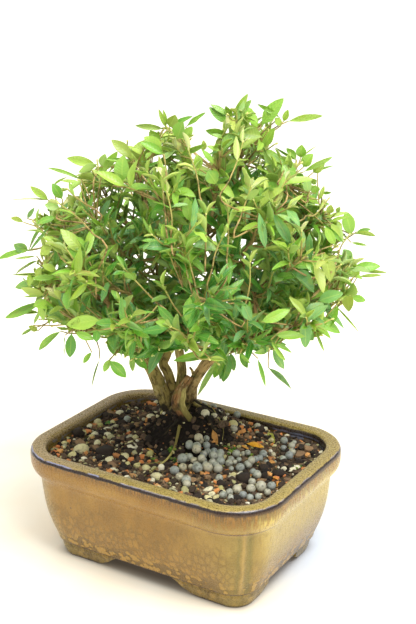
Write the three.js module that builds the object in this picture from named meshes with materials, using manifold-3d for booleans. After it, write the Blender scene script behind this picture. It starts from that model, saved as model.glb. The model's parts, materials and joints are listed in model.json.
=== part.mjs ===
// A small serissa bonsai in a glazed stoneware pot. Millimetres, +Z up.
//
// The pot is laid out round its own centre, with its long side along X and its feet on z = 0. The tree is
// laid out round the middle of its butt, in a frame of its own: "across" runs to the right of the tree's
// front, "away" runs from the front to the back, and heights are above the surface that the feet stand on.
// At the end the whole is shifted so that the origin is the bottom centre of its bounding box.
import * as THREE from "three";
import { mergeVertices } from "three/addons/utils/BufferGeometryUtils.js";
import Module from "manifold-3d";

const wasm = await Module();
wasm.setup();

const { clamp, degToRad, lerp } = THREE.MathUtils;

// ---- Driving dimensions -----------------------------------------------------------------------------------

const SEAT_GAP = 0.3; // what rests on or in another piece keeps this much clear of it
const SLIVER = 0.05; // edges and steps finer than this are smoothed away,
const ROUGH_SLIVER = 0.12; // and these on wood, soil and pellets

const POT = {
  length: 152,
  width: 114.5,
  height: 64,
  cornerRadius: 28,
  footHeight: 9.2,
  floorTop: 14,
  drainRadius: 5.5,
  drainOffset: 27, // from the centre, along the long side
};

// The ring of feet under the pot. Insets are from the rim's outline. Each gap between two feet has its width
// at the ground and at the pot's underside.
const FOOT = {
  groundInset: 17.3,
  topInset: 14.4,
  ringWidth: 9.5,
  sunk: 1, // the ring runs this far up into the pot
  longGap: { ground: 69, top: 33 },
  shortGap: { ground: 53, top: 24 },
};

const SOIL = {
  edgeHeight: 58.5, // where it meets the wall
  moundRise: 18.5,
  moundSpread: 24,
  lumpHeight: 0.7,
  cell: 9.5, // spacing of the surface grid
};

// Stones lie this far inside the rim and this far from the butt's middle, and clear of the heap of pellets.
const STONE = { count: 18, smallest: 2.2, largest: 4, rimMargin: 20, buttMargin: 22, heapMargin: 1.25 };

const PELLET = { radius: 2.35, pitch: 6.4, scatter: 0.9 };

// The oval heap of pellets, in front and to the right of the tree, with the depth of the crumbs under them.
const HEAP = { x: 34, y: -11, length: 66, width: 30, turn: -0.3, bed: 1.1 };

const SCREEN = { openings: 2, opening: 6.2, bar: 1.2, thickness: 0.9 };

const TREE = {
  frontTurn: degToRad(31.35), // the tree's front is turned this far from the pot's long side
  buttX: -10,
  buttY: 20,
  seed: 51,
};

// The swelling that joins the stems' feet: its middle is a point of the tree's frame.
const SWELLING = { middle: [-4, 1, 67], halfAcross: 11, halfAway: 9 };

const ROOT = { wander: 2.2, start: 2, lift: 1.2, taper: 0.6 };

// A branch grows from no lower than bareHeight. It chooses its place by the reach to the seat of its shoot,
// plus wayShare of the way back to the butt. Its last part, a share of the reach, is in line with the shoot.
const BRANCH = { bareHeight: 104, wayShare: 0.22, lastPart: 0.45, forkPower: 0.42 };

const SHOOT = { length: 29, baseRadius: 0.85, tipRadius: 0.6 };

// Leaf sizes vary by a share either way. splay is the angle from the stem at its foot, less closing at its
// tip. All angles are in degrees.
const LEAF = {
  length: 20,
  width: 7,
  thickness: 1.3,
  arch: 2.8,
  vary: 0.18,
  splay: 66,
  closing: 26,
  splayVary: 8,
  spin: 20, // the first pair stands this far round from level
  spinVary: 14,
  faceVary: 23,
  tipPair: 0.85, // the youngest pair is this much of a full one
};

const CROWN = {
  shoots: 52,
  middleAcross: 2,
  middleAway: -10, // it leans a little to the front
  middleHeight: 151,
  above: 84, // the tips' reach above the middle; the top leaves stand past it, as they do on every side
  below: 46,
  halfWidth: 87,
  halfDepth: 80,
  topLean: 16, // the top stands this far to the right
  lowestLevel: 0.74, // there are no shoots below this part of the reach below the middle
  frontLift: 0.75,
  rise: 0.35, // how strongly the shoots turn up
  bearingVary: 7, // degrees
  outVary: 0.05, // shares of the reach and of the shoot's length
  lengthVary: 0.1,
  hubHeight: 116, // the branches are laid from the shoots nearest this height outwards
};

// ---- Shapes shared by the pieces --------------------------------------------------------------------------

// mulberry32: a small seeded generator of numbers from 0 to 1.
function seeded(seed) {
  let state = seed >>> 0;
  return () => {
    state = (state + 0x6d2b79f5) >>> 0;
    let t = state;
    t = Math.imul(t ^ (t >>> 15), t | 1);
    t ^= t + Math.imul(t ^ (t >>> 7), t | 61);
    return ((t ^ (t >>> 14)) >>> 0) / 4294967296;
  };
}

function solid(geometry) {
  const bare = geometry.clone();
  bare.deleteAttribute("normal");
  bare.deleteAttribute("uv");
  const merged = mergeVertices(bare, 1e-4);
  const mesh = new wasm.Mesh({
    numProp: 3,
    vertProperties: merged.attributes.position.array,
    triVerts: new Uint32Array(merged.index.array),
  });
  return new wasm.Manifold(mesh);
}

const join = (solids) => solids.reduce((whole, piece) => whole.add(piece));

// The largest body of a solid, without the crumbs that a cut leaves loose or the slivers that a join leaves.
function mainBody(whole, sliver = SLIVER) {
  const biggest = whole.decompose().reduce((best, body) => (body.volume() > best.volume() ? body : best));
  return biggest.asOriginal().simplify(sliver);
}

function geometryOf(whole) {
  const { vertProperties, triVerts } = whole.getMesh();
  const geometry = new THREE.BufferGeometry();
  geometry.setAttribute("position", new THREE.BufferAttribute(vertProperties, 3));
  geometry.setIndex(new THREE.BufferAttribute(triVerts, 1));
  return geometry;
}

function roundedRectangle(length, width, radius) {
  const x = length / 2 - radius;
  const y = width / 2 - radius;
  const shape = new THREE.Shape();
  shape.absarc(x, y, radius, 0, Math.PI / 2);
  shape.absarc(-x, y, radius, Math.PI / 2, Math.PI);
  shape.absarc(-x, -y, radius, Math.PI, Math.PI * 1.5);
  shape.absarc(x, -y, radius, Math.PI * 1.5, Math.PI * 2);
  shape.closePath();
  return shape;
}

// The pot's outline swept through stations of [height, inset]: an extrusion with one step for each station,
// whose corners keep their centres while they are drawn in by the inset.
function potLoft(stations) {
  const steps = stations.length - 1;
  const outline = roundedRectangle(POT.length, POT.width, POT.cornerRadius);
  const stepped = { depth: steps, steps, bevelEnabled: false, curveSegments: 3 };
  const loft = new THREE.ExtrudeGeometry(outline, stepped);
  const place = loft.attributes.position;
  const straightX = POT.length / 2 - POT.cornerRadius;
  const straightY = POT.width / 2 - POT.cornerRadius;
  for (let i = 0; i < place.count; i++) {
    const [height, inset] = stations[Math.round(place.getZ(i))];
    const x = place.getX(i);
    const y = place.getY(i);
    const cornerX = clamp(x, -straightX, straightX);
    const cornerY = clamp(y, -straightY, straightY);
    const keep = 1 - inset / POT.cornerRadius;
    place.setXYZ(i, cornerX + (x - cornerX) * keep, cornerY + (y - cornerY) * keep, height);
  }
  return solid(loft);
}

// A limb with a round section of the given radius at each point of its path: a cylinder with one
// segment for each step, bent to the path.
function limb(path, radii, sides) {
  const steps = path.length - 1;
  const tube = new THREE.CylinderGeometry(1, 1, steps, sides, steps);
  const frames = path.map((point, k) => {
    const tangent = path[Math.min(k + 1, steps)].clone().sub(path[Math.max(k - 1, 0)]).normalize();
    const reference = Math.abs(tangent.x) < 0.8 ? new THREE.Vector3(1, 0, 0) : new THREE.Vector3(0, 1, 0);
    const side = reference.cross(tangent).normalize();
    return { point, side, up: side.clone().cross(tangent) };
  });
  const place = tube.attributes.position;
  for (let i = 0; i < place.count; i++) {
    const k = Math.round(place.getY(i) + steps / 2);
    const { point, side, up } = frames[k];
    const moved = point.clone();
    moved.addScaledVector(side, place.getX(i) * radii[k]);
    moved.addScaledVector(up, place.getZ(i) * radii[k]);
    place.setXYZ(i, moved.x, moved.y, moved.z);
  }
  return solid(tube);
}

// ---- Pot --------------------------------------------------------------------------------------------------

// [height, inset from the rim's outline], up the outside, over the lip and down the inside.
const POT_OUTSIDE = [
  [POT.footHeight, 13.4],
  [14, 12.2],
  [20, 9.8],
  [26, 7.9],
  [34, 6.4],
  [47.5, 5],
  [50.5, 2.6],
  [53.5, 0.7],
  [57, 0],
  [62.4, 0],
];
const POT_LIP = [
  [POT.height, 1.4],
  [POT.height, 7.4],
];
const POT_INSIDE = [
  [62.8, 8.5],
  [40, 11],
  [22, 15.5],
  [POT.floorTop, 22],
];

function potSolid() {
  const body = potLoft([...POT_OUTSIDE, ...POT_LIP, ...POT_INSIDE]);
  const ring = potLoft([
    [0, FOOT.groundInset],
    [POT.footHeight, FOOT.topInset],
    [POT.footHeight + FOOT.sunk, FOOT.topInset],
  ]);
  const inside = potLoft([
    [-1, FOOT.topInset + FOOT.ringWidth],
    [POT.footHeight, FOOT.topInset + FOOT.ringWidth],
  ]);
  const longGap = footGap(POT.width, FOOT.longGap);
  const shortGap = footGap(POT.length, FOOT.shortGap).rotate([0, 0, 90]);
  const feet = ring.subtract(inside).subtract(longGap).subtract(shortGap);
  const drains = [-1, 1].map((side) => {
    const hole = new THREE.CylinderGeometry(POT.drainRadius, POT.drainRadius, POT.height, 12);
    return solid(hole.rotateX(Math.PI / 2).translate(side * POT.drainOffset, 0, 0));
  });
  return body.add(feet).subtract(join(drains));
}

// The gap between two feet, cut right through the ring along Y: it is widest at the ground, and its ends
// slope up to the pot's underside from feet with rounded toes.
function footGap(through, { ground, top }) {
  const toe = { length: 5, height: 0.8 };
  const halfWay = (ground + top) / 4;
  const arch = new THREE.Shape();
  arch.moveTo(-ground / 2, -1);
  arch.lineTo(ground / 2, -1);
  arch.lineTo(ground / 2, 0);
  arch.quadraticCurveTo(ground / 2 - toe.length, toe.height, halfWay, POT.footHeight / 2);
  arch.lineTo(top / 2, POT.footHeight);
  arch.lineTo(-top / 2, POT.footHeight);
  arch.lineTo(-halfWay, POT.footHeight / 2);
  arch.quadraticCurveTo(toe.length - ground / 2, toe.height, -ground / 2, 0);
  const gap = new THREE.ExtrudeGeometry(arch, { depth: through, bevelEnabled: false, curveSegments: 2 });
  return solid(gap.translate(0, 0, -through / 2).rotateX(Math.PI / 2));
}

// ---- Soil, stones, pellets and drainage screens -----------------------------------------------------------

function mound(x, y) {
  const distance = Math.hypot(x - TREE.buttX, y - TREE.buttY);
  return SOIL.edgeHeight + SOIL.moundRise * Math.exp(-((distance / SOIL.moundSpread) ** 2));
}

function soilHeight(x, y) {
  const lumps = Math.sin(x * 0.53 + 1.3) * Math.sin(y * 0.61 + 0.4) + Math.sin(x * 1.17 - y * 0.9);
  return mound(x, y) + (SOIL.lumpHeight * lumps) / 2;
}

// A block with a grid on its top, raised to the soil's surface and cut to the pot's inside, less the gap.
function soilSolid() {
  const across = Math.round(POT.length / SOIL.cell);
  const deep = Math.round(POT.width / SOIL.cell);
  const block = new THREE.BoxGeometry(POT.length, POT.width, 1, across, deep, 1);
  const place = block.attributes.position;
  for (let i = 0; i < place.count; i++) {
    const top = place.getZ(i) > 0;
    place.setZ(i, top ? soilHeight(place.getX(i), place.getY(i)) : 0);
  }
  const [lip, ...wall] = POT_INSIDE;
  const insideOut = wall.reverse();
  const fill = insideOut.map(([height, inset], k) => [height + (k ? 0 : SEAT_GAP), inset + 1.5 * SEAT_GAP]);
  const top = lip[1] + 1.5 * SEAT_GAP;
  const cavity = potLoft([...fill, [POT.height, top], [POT.height + SOIL.moundRise, top]]);
  return solid(block).intersect(cavity);
}

// Angular stones half sunk in the soil.
function stones(random) {
  const placed = [];
  while (placed.length < STONE.count) {
    const x = (random() - 0.5) * (POT.length - 2 * STONE.rimMargin);
    const y = (random() - 0.5) * (POT.width - 2 * STONE.rimMargin);
    const size = lerp(STONE.smallest, STONE.largest, random());
    const turn = random() * Math.PI * 2;
    const nearButt = Math.hypot(x - TREE.buttX, y - TREE.buttY) < STONE.buttMargin;
    if (nearButt || inHeap(x, y) < STONE.heapMargin) continue;
    const stone = new THREE.IcosahedronGeometry(size, 0).scale(1.2, 0.9, 0.7);
    stone.rotateX(turn / 5).rotateZ(turn);
    placed.push(solid(stone.translate(x, y, soilHeight(x, y) + size * 0.15)));
  }
  return placed;
}

// A place's distance from the middle of the heap of pellets: 1 is on its oval outline.
function inHeap(x, y) {
  const dx = x - HEAP.x;
  const dy = y - HEAP.y;
  const along = dx * Math.cos(HEAP.turn) + dy * Math.sin(HEAP.turn);
  const over = dy * Math.cos(HEAP.turn) - dx * Math.sin(HEAP.turn);
  return Math.hypot(along / (HEAP.length / 2), over / (HEAP.width / 2));
}

// Round pellets in staggered rows, in a bed of the crumbs that they break up into.
function pelletHeap(random) {
  const bedSides = 14;
  const bed = new THREE.CylinderGeometry(1, 1, 1, bedSides).rotateX(Math.PI / 2);
  bed.scale(HEAP.length / 2 - PELLET.radius, HEAP.width / 2 - PELLET.radius, 1).rotateZ(HEAP.turn);
  bed.translate(HEAP.x, HEAP.y, 0);
  const place = bed.attributes.position;
  for (let i = 0; i < place.count; i++) {
    const surface = mound(place.getX(i), place.getY(i));
    place.setZ(i, surface + (place.getZ(i) > 0 ? HEAP.bed : -2 * HEAP.bed));
  }
  const rows = Math.ceil(HEAP.length / PELLET.pitch);
  const heap = [solid(bed)];
  for (let row = -rows; row <= rows; row++) {
    for (let column = -rows; column <= rows; column++) {
      const x = HEAP.x + (column + (row % 2) / 2) * PELLET.pitch + PELLET.scatter * (random() - 0.5);
      const y = HEAP.y + row * PELLET.pitch * Math.sin(Math.PI / 3) + PELLET.scatter * (random() - 0.5);
      const radius = PELLET.radius * (0.97 + 0.12 * random());
      const ball = new THREE.IcosahedronGeometry(radius, 0).rotateZ(random() * Math.PI);
      const sits = mound(x, y) + HEAP.bed + radius * 0.55;
      if (inHeap(x, y) < 1 - PELLET.radius / HEAP.width) heap.push(solid(ball.translate(x, y, sits)));
    }
  }
  return join(heap);
}

// A square of plastic mesh that lies on the pot's floor over a drain hole.
function drainageScreen(side) {
  const pitch = SCREEN.opening + SCREEN.bar;
  const width = SCREEN.openings * pitch + SCREEN.bar;
  const sheet = solid(new THREE.BoxGeometry(width, width, SCREEN.thickness));
  const openings = [];
  for (let i = 0; i < SCREEN.openings; i++) {
    for (let j = 0; j < SCREEN.openings; j++) {
      const opening = new THREE.BoxGeometry(SCREEN.opening, SCREEN.opening, 2 * SCREEN.thickness);
      const middle = (k) => (k - (SCREEN.openings - 1) / 2) * pitch;
      openings.push(solid(opening.translate(middle(i), middle(j), 0)));
    }
  }
  const height = POT.floorTop + SEAT_GAP + SCREEN.thickness / 2;
  return sheet.subtract(join(openings)).translate([side * POT.drainOffset, 0, height]);
}

// The room that a screen takes in the soil above it.
function screenRoom(side) {
  const width = SCREEN.openings * (SCREEN.opening + SCREEN.bar) + SCREEN.bar + 2 * SEAT_GAP;
  const room = new THREE.BoxGeometry(width, width, 2 * (SCREEN.thickness + 2 * SEAT_GAP));
  return solid(room.translate(side * POT.drainOffset, 0, POT.floorTop));
}

// ---- Tree: stems, roots and branches ----------------------------------------------------------------------

// A point of the tree's frame in the pot's frame.
function treePoint(across, away, height) {
  const turned = new THREE.Vector2(across, away).rotateAround(new THREE.Vector2(), TREE.frontTurn);
  return new THREE.Vector3(TREE.buttX + turned.x, TREE.buttY + turned.y, height);
}

// The stems that rise from the butt, each through points of [across, away, height], with the radius at its
// foot and at its top. The last is an old root that leaves the right stem and twists down to the front.
const STEMS = [
  {
    radii: [4.3, 2.1],
    points: [[-11, 4, 62], [-13.7, 4, 75], [-17, 3.5, 86], [-21.4, 2.5, 97], [-27, 1, 108], [-38, 0, 128]],
  },
  {
    radii: [3.1, 1.6],
    points: [[-5, 6, 66], [-8.4, 7, 81], [-12.5, 9, 93], [-14.8, 10, 98], [-12, 12, 108], [-16, 18, 138]],
  },
  {
    radii: [2.9, 1.3],
    points: [
      ...[[-3, 3, 64], [-4.4, 5, 86], [-4.5, 5, 99], [-5.9, 5, 112]],
      ...[[-2, 4, 134], [4, 1, 160], [12, 0, 186]],
    ],
  },
  {
    radii: [3.4, 2.0],
    points: [
      ...[[1, 4, 62], [0.8, 4, 78], [1.8, 3, 87], [4.1, 2, 93]],
      ...[[10, 0, 102.5], [20, -2, 114], [36, -3, 130]],
    ],
  },
  {
    radii: [2.2, 2.5],
    points: [
      ...[[5, -10, 64], [-0.1, -10, 72], [-6, -10, 77], [-8.2, -9, 83]],
      ...[[-6, -7, 87.5], [-1.4, -3, 92.4], [4, 0, 98]],
    ],
  },
];

// Roots that show where they leave the butt: their bearing in degrees in the tree's frame (0 is across, -90
// is to the front), how far they run, how deep they end below the surface, and the radius they start with.
const ROOTS = [
  { bearing: -50, run: 34, depth: 1, radius: 1.6 },
  { bearing: -8, run: 36, depth: 1, radius: 1.3 },
  { bearing: -125, run: 30, depth: 2, radius: 1.5 },
  { bearing: 60, run: 22, depth: 7, radius: 2.2 },
  { bearing: 185, run: 24, depth: 7, radius: 2.2 },
];

function rootLimb({ bearing, run, depth, radius }, clearance) {
  const steps = 3;
  const angle = degToRad(bearing);
  const path = [];
  const radii = [];
  for (let k = 0; k <= steps; k++) {
    const t = k / steps;
    const wander = ROOT.wander * Math.sin(t * 5 + bearing);
    const reach = ROOT.start + run * t;
    const across = reach * Math.cos(angle) - wander * Math.sin(angle);
    const away = reach * Math.sin(angle) + wander * Math.cos(angle);
    const point = treePoint(across, away, 0);
    point.z = mound(point.x, point.y) + ROOT.lift * (1 - t) - depth * t ** 1.2;
    path.push(point);
    radii.push(radius * (1 - ROOT.taper * t) + clearance);
  }
  return limb(path, radii, 5);
}

function stemLimb({ points, radii: [foot, top] }, clearance) {
  const path = points.map((point) => treePoint(...point));
  const radii = path.map((_, k) => lerp(foot, top, k / (path.length - 1)) + clearance);
  return limb(path, radii, 6);
}

// The stems with the swelling that joins their feet and the roots that leave it, grown by a clearance.
function butt(clearance) {
  const halfAway = SWELLING.halfAway + clearance;
  const swelling = new THREE.SphereGeometry(1, 8, 5);
  swelling.scale(SWELLING.halfAcross + clearance, halfAway, halfAway);
  const middle = treePoint(...SWELLING.middle);
  swelling.translate(middle.x, middle.y, middle.z);
  const stems = STEMS.map((stem) => stemLimb(stem, clearance));
  const roots = ROOTS.map((root) => rootLimb(root, clearance));
  return join([...stems, ...roots, solid(swelling)]);
}

// Where each leafy shoot starts and ends. Their tips are spread over the crown's egg shape by equal steps of
// height and turns of the golden angle. The bottom cap has none, and the front is lifted clear of the stems.
const GOLDEN_ANGLE = Math.PI * (3 - Math.sqrt(5));
function shoots(random) {
  const vary = (most) => most * (2 * random() - 1);
  const up = new THREE.Vector3(0, 0, 1);
  const middle = treePoint(CROWN.middleAcross, CROWN.middleAway, CROWN.middleHeight);
  const made = [];
  for (let k = 0; k < CROWN.shoots; k++) {
    const level = 1 - ((1 + CROWN.lowestLevel) * (k + 0.5)) / CROWN.shoots; // 1 at the top, -1 at the bottom
    const bearing = k * GOLDEN_ANGLE + degToRad(vary(CROWN.bearingVary));
    const out = Math.sqrt(1 - level * level) * (1 + vary(CROWN.outVary));
    const front = Math.max(0, -Math.sin(bearing)) * out;
    const lift = level < 0 ? 1 - CROWN.frontLift * front : 1;
    const height = (level > 0 ? CROWN.above : CROWN.below) * level * lift;
    const leaning = CROWN.middleAcross + CROWN.topLean * level ** 3;
    const across = leaning + CROWN.halfWidth * out * Math.cos(bearing);
    const away = CROWN.middleAway + CROWN.halfDepth * out * Math.sin(bearing);
    const tip = treePoint(across, away, CROWN.middleHeight + height);
    const outward = tip.clone().sub(middle).normalize();
    const direction = outward.addScaledVector(up, CROWN.rise).normalize();
    const length = SHOOT.length * (1 + vary(CROWN.lengthVary));
    made.push({ base: tip.clone().addScaledVector(direction, -length), tip, direction, length });
  }
  return made;
}

// Every branch grows from the nearest wood to the seat of its shoot, the innermost shoots first. Each knows
// how many shoots it carries at each of its points.
function branches(seats) {
  const stems = STEMS.map(({ points }) => {
    const path = points.map((point) => treePoint(...point));
    return { path, way: wayAlong(path, 0), parent: null, carried: path.map(() => 0) };
  });
  const wood = [...stems];
  const hub = treePoint(0, 0, CROWN.hubHeight);
  const fromInside = [...seats].sort((a, b) => a.base.distanceTo(hub) - b.base.distanceTo(hub));
  for (const seat of fromInside) {
    let best = null;
    for (const branch of wood) {
      branch.path.forEach((point, station) => {
        const isSeat = branch.parent && station === branch.path.length - 1;
        if (isSeat || point.z < BRANCH.bareHeight) return;
        const cost = point.distanceTo(seat.base) + BRANCH.wayShare * branch.way[station];
        if (!best || cost < best.cost) best = { cost, branch, station, point };
      });
    }
    const lastPart = BRANCH.lastPart * best.point.distanceTo(seat.base);
    const bend = seat.base.clone().addScaledVector(seat.direction, -lastPart);
    const path = [best.point, bend, seat.base];
    const way = wayAlong(path, best.branch.way[best.station]);
    wood.push({ path, way, parent: best, carried: path.map(() => 1) });
    for (let at = best; at; at = at.branch.parent) {
      for (let k = 0; k <= at.station; k++) at.branch.carried[k] += 1;
    }
  }
  return wood.slice(stems.length);
}

function wayAlong(path, start) {
  let way = start;
  return path.map((point, k) => {
    if (k) way += point.distanceTo(path[k - 1]);
    return way;
  });
}

function branchLimb({ path, carried }) {
  const radii = carried.map((shoots) => SHOOT.baseRadius * shoots ** BRANCH.forkPower);
  return limb(path, radii, carried[0] > 2 ? 4 : 3);
}

// ---- Leafy shoots -----------------------------------------------------------------------------------------

// A pointed blade with a flat top, a keel along its midrib and a tip that arches down: a three-sided
// sphere drawn out along its poles.
const BLADE_STATIONS = [0, 0.3, 0.7, 1];
const BLADE_WIDTHS = [0, 1, 0.86, 0];
function blade({ base, along, face, length, width }, clearance = 0) {
  const side = face.clone().cross(along);
  const leaf = new THREE.SphereGeometry(1, 3, 3);
  const place = leaf.attributes.position;
  const ringSine = Math.sin(Math.PI / 3);
  for (let i = 0; i < place.count; i++) {
    const ring = Math.round((Math.acos(clamp(place.getY(i), -1, 1)) / Math.PI) * 3);
    const t = BLADE_STATIONS[ring];
    const widen = BLADE_WIDTHS[ring] / ringSine ** 2; // the two edges of the ring come to exactly 1
    const across = -place.getZ(i) * widen * (width / 2 + clearance);
    const keel = place.getX(i) < -0.1;
    const over = keel ? -LEAF.thickness - clearance : clearance;
    const moved = base.clone().addScaledVector(along, t * (length + clearance));
    moved.addScaledVector(side, across);
    moved.addScaledVector(face, over * BLADE_WIDTHS[ring] - LEAF.arch * t * t);
    place.setXYZ(i, moved.x, moved.y, moved.z);
  }
  return solid(leaf);
}

// The leaves of a shoot: crossed pairs up its stem, wide apart below and gathered at the tip.
const PAIRS = [0.36, 0.58, 0.8, 1];
function leavesOf({ base, direction, length }, random) {
  const vary = (most) => most * (2 * random() - 1);
  const level = new THREE.Vector3(0, 0, 1).cross(direction).normalize();
  const made = [];
  PAIRS.forEach((t, pair) => {
    const spin = (pair % 2) * (Math.PI / 2) + degToRad(LEAF.spin + vary(LEAF.spinVary));
    for (const half of [0, Math.PI]) {
      const side = level.clone().applyAxisAngle(direction, spin + half);
      const splay = degToRad(LEAF.splay - LEAF.closing * t + vary(LEAF.splayVary));
      const along = direction.clone().multiplyScalar(Math.cos(splay)).addScaledVector(side, Math.sin(splay));
      const face = side.clone().multiplyScalar(-Math.cos(splay)).addScaledVector(direction, Math.sin(splay));
      const size = (1 + vary(LEAF.vary)) * (t === 1 ? LEAF.tipPair : 1);
      face.applyAxisAngle(along, degToRad(vary(LEAF.faceVary)));
      const start = base.clone().addScaledVector(direction, t * length - SHOOT.tipRadius);
      made.push({ base: start, along, face, length: LEAF.length * size, width: LEAF.width * size ** 0.7 });
    }
  });
  return made;
}

const boxesMeet = (a, b) => [0, 1, 2].every((k) => a.min[k] < b.max[k] && b.min[k] < a.max[k]);

// A shoot's stem and leaves in one solid. A leaf that would cross the wood or another spray is left out.
function spraySolid(shoot, leaves, neighbours) {
  const { base, direction, tip } = shoot;
  const start = base.clone().addScaledVector(direction, SEAT_GAP);
  const stem = limb([start, tip], [SHOOT.baseRadius, SHOOT.tipRadius], 4);
  const clear = leaves.filter((leaf) => {
    const guard = blade(leaf, SEAT_GAP);
    const box = guard.boundingBox();
    return neighbours.every((other) => !boxesMeet(box, other.box) || guard.intersect(other.solid).isEmpty());
  });
  return mainBody(join([stem, ...clear.map((leaf) => blade(leaf))]));
}

// ---- The pieces in place ----------------------------------------------------------------------------------

const GLAZE = new THREE.MeshStandardMaterial({ color: 0xb08d58, roughness: 0.35, metalness: 0 });
const EARTH = new THREE.MeshStandardMaterial({ color: 0x3a2c22, roughness: 0.95, metalness: 0 });
const CLAY = new THREE.MeshStandardMaterial({ color: 0xa9a89d, roughness: 0.8, metalness: 0 });
const PLASTIC = new THREE.MeshStandardMaterial({ color: 0x1c1c1c, roughness: 0.6, metalness: 0 });
const BARK = new THREE.MeshStandardMaterial({ color: 0x8a7148, roughness: 0.85, metalness: 0 });
const GREEN = new THREE.MeshStandardMaterial({ color: 0x5a9a2c, roughness: 0.5, metalness: 0 });

const group = new THREE.Group();
group.name = "serissa_bonsai";
function add(name, whole, material) {
  const mesh = new THREE.Mesh(geometryOf(whole), material);
  mesh.name = name;
  group.add(mesh);
}

const groundRandom = seeded(TREE.seed + 1);
const buttRoom = butt(SEAT_GAP);
const earth = join([soilSolid(), ...stones(groundRandom)]);
const rooms = join([buttRoom, screenRoom(-1), screenRoom(1)]);
const soil = mainBody(earth.subtract(rooms), ROUGH_SLIVER);
const heap = pelletHeap(groundRandom).subtract(earth.translate([0, 0, SEAT_GAP])).subtract(buttRoom);
const pellets = mainBody(heap, ROUGH_SLIVER);

add("pot", potSolid(), GLAZE);
add("drainage_screen_left", drainageScreen(-1), PLASTIC);
add("drainage_screen_right", drainageScreen(1), PLASTIC);
add("soil", soil, EARTH);
add("pellets", pellets, CLAY);

const treeRandom = seeded(TREE.seed);
const seats = shoots(treeRandom);
const trunk = mainBody(join([butt(0), ...branches(seats).map(branchLimb)]), ROUGH_SLIVER);
add("trunk", trunk, BARK);

const neighbours = [{ solid: trunk, box: trunk.boundingBox() }];
seats.forEach((shoot, index) => {
  const spray = spraySolid(shoot, leavesOf(shoot, treeRandom), neighbours);
  neighbours.push({ solid: spray, box: spray.boundingBox() });
  add(`spray_${String(index + 1).padStart(2, "0")}`, spray, GREEN);
});

const bounds = new THREE.Box3().setFromObject(group);
const centre = bounds.getCenter(new THREE.Vector3());
group.position.set(-centre.x, -centre.y, 0);

export default group;
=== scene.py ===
# %% [markdown]
# # A serissa bonsai in its glazed pot
# The packed model is loaded first. It is the frame of this scene: every piece is in metres, in its place.
# Each step then finishes one of its pieces, or models a finer one that stands for it.

# %% Load the frame
import json
import math
import random

import bmesh
import bpy
from mathutils import Euler, Matrix, Vector, noise

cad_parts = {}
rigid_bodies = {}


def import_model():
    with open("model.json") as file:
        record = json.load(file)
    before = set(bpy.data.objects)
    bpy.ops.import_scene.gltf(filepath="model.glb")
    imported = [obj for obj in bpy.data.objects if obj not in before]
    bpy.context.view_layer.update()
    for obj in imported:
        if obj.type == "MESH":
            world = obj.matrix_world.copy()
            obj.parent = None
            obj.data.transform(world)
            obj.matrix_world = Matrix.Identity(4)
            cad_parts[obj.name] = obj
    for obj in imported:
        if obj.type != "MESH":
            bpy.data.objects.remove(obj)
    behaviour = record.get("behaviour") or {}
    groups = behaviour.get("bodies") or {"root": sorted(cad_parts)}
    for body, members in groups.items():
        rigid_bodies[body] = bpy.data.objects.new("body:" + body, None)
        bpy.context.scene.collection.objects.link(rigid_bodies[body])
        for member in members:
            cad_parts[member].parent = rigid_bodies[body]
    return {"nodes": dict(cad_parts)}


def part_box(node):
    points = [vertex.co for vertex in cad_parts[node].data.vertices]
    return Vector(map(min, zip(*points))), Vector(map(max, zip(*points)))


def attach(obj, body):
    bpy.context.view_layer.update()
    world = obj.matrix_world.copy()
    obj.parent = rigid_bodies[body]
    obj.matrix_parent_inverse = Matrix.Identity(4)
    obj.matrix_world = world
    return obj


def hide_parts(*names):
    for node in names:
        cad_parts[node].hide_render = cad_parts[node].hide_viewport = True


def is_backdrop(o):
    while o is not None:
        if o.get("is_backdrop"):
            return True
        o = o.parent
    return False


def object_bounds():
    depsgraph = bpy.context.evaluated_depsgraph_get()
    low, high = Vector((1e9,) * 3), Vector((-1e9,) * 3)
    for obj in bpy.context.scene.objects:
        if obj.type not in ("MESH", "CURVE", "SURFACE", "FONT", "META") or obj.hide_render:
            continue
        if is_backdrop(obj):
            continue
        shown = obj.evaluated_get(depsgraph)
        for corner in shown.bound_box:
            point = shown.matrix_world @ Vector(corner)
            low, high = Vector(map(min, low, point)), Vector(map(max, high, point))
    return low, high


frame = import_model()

for leftover in [o for o in bpy.data.objects if o.name in ("Cube", "Light", "Camera")]:
    bpy.data.objects.remove(leftover)
cad_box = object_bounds()
print("nodes in the frame:", len(frame["nodes"]))

# %% [markdown]
# ## A workbench in millimetres
# A potter and a gardener think in millimetres from the middle of the pot, so the pieces are shaped there and
# moved into the frame when they are done. The move is applied to the mesh, which leaves the finished object
# unturned and unscaled at the origin, where a pattern on object coordinates stays put.

# %% Finish a piece
pot_low, pot_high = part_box("pot")
pot_middle = (Vector(pot_low) + Vector(pot_high)) / 2
to_frame = Matrix.Translation((pot_middle.x, pot_middle.y, 0)) @ Matrix.Scale(0.001, 4)


def mesh_of(name, bm):
    mesh = bpy.data.meshes.new(name)
    bm.to_mesh(mesh)
    bm.free()
    return mesh


def object_of(name, data):
    """A new object in the scene, made of a bmesh, a camera or a light."""
    if isinstance(data, bmesh.types.BMesh):
        data = mesh_of(name, data)
    made = bpy.data.objects.new(name, data)
    bpy.context.scene.collection.objects.link(made)
    return made


def settle(name, bm, materials, smooth=True):
    """Makes a piece that rides on the root out of a bmesh in pot millimetres."""
    bmesh.ops.transform(bm, matrix=to_frame, verts=bm.verts)
    piece = object_of(name, bm)
    for material in materials:
        piece.data.materials.append(material)
    if smooth:
        piece.data.shade_smooth()
    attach(piece, "root")
    return piece


def clamp(value, low, high):
    return max(low, min(high, value))


def blend_between(a, b, t):
    return a + (b - a) * t


def jitter(draw, most):
    """A vector whose parts are drawn one after the other between minus and plus the most."""
    return Vector([draw.uniform(-most, most) for _ in range(3)])


print("pot centre in the frame, mm:", [round(1000 * v, 2) for v in pot_middle])

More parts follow.
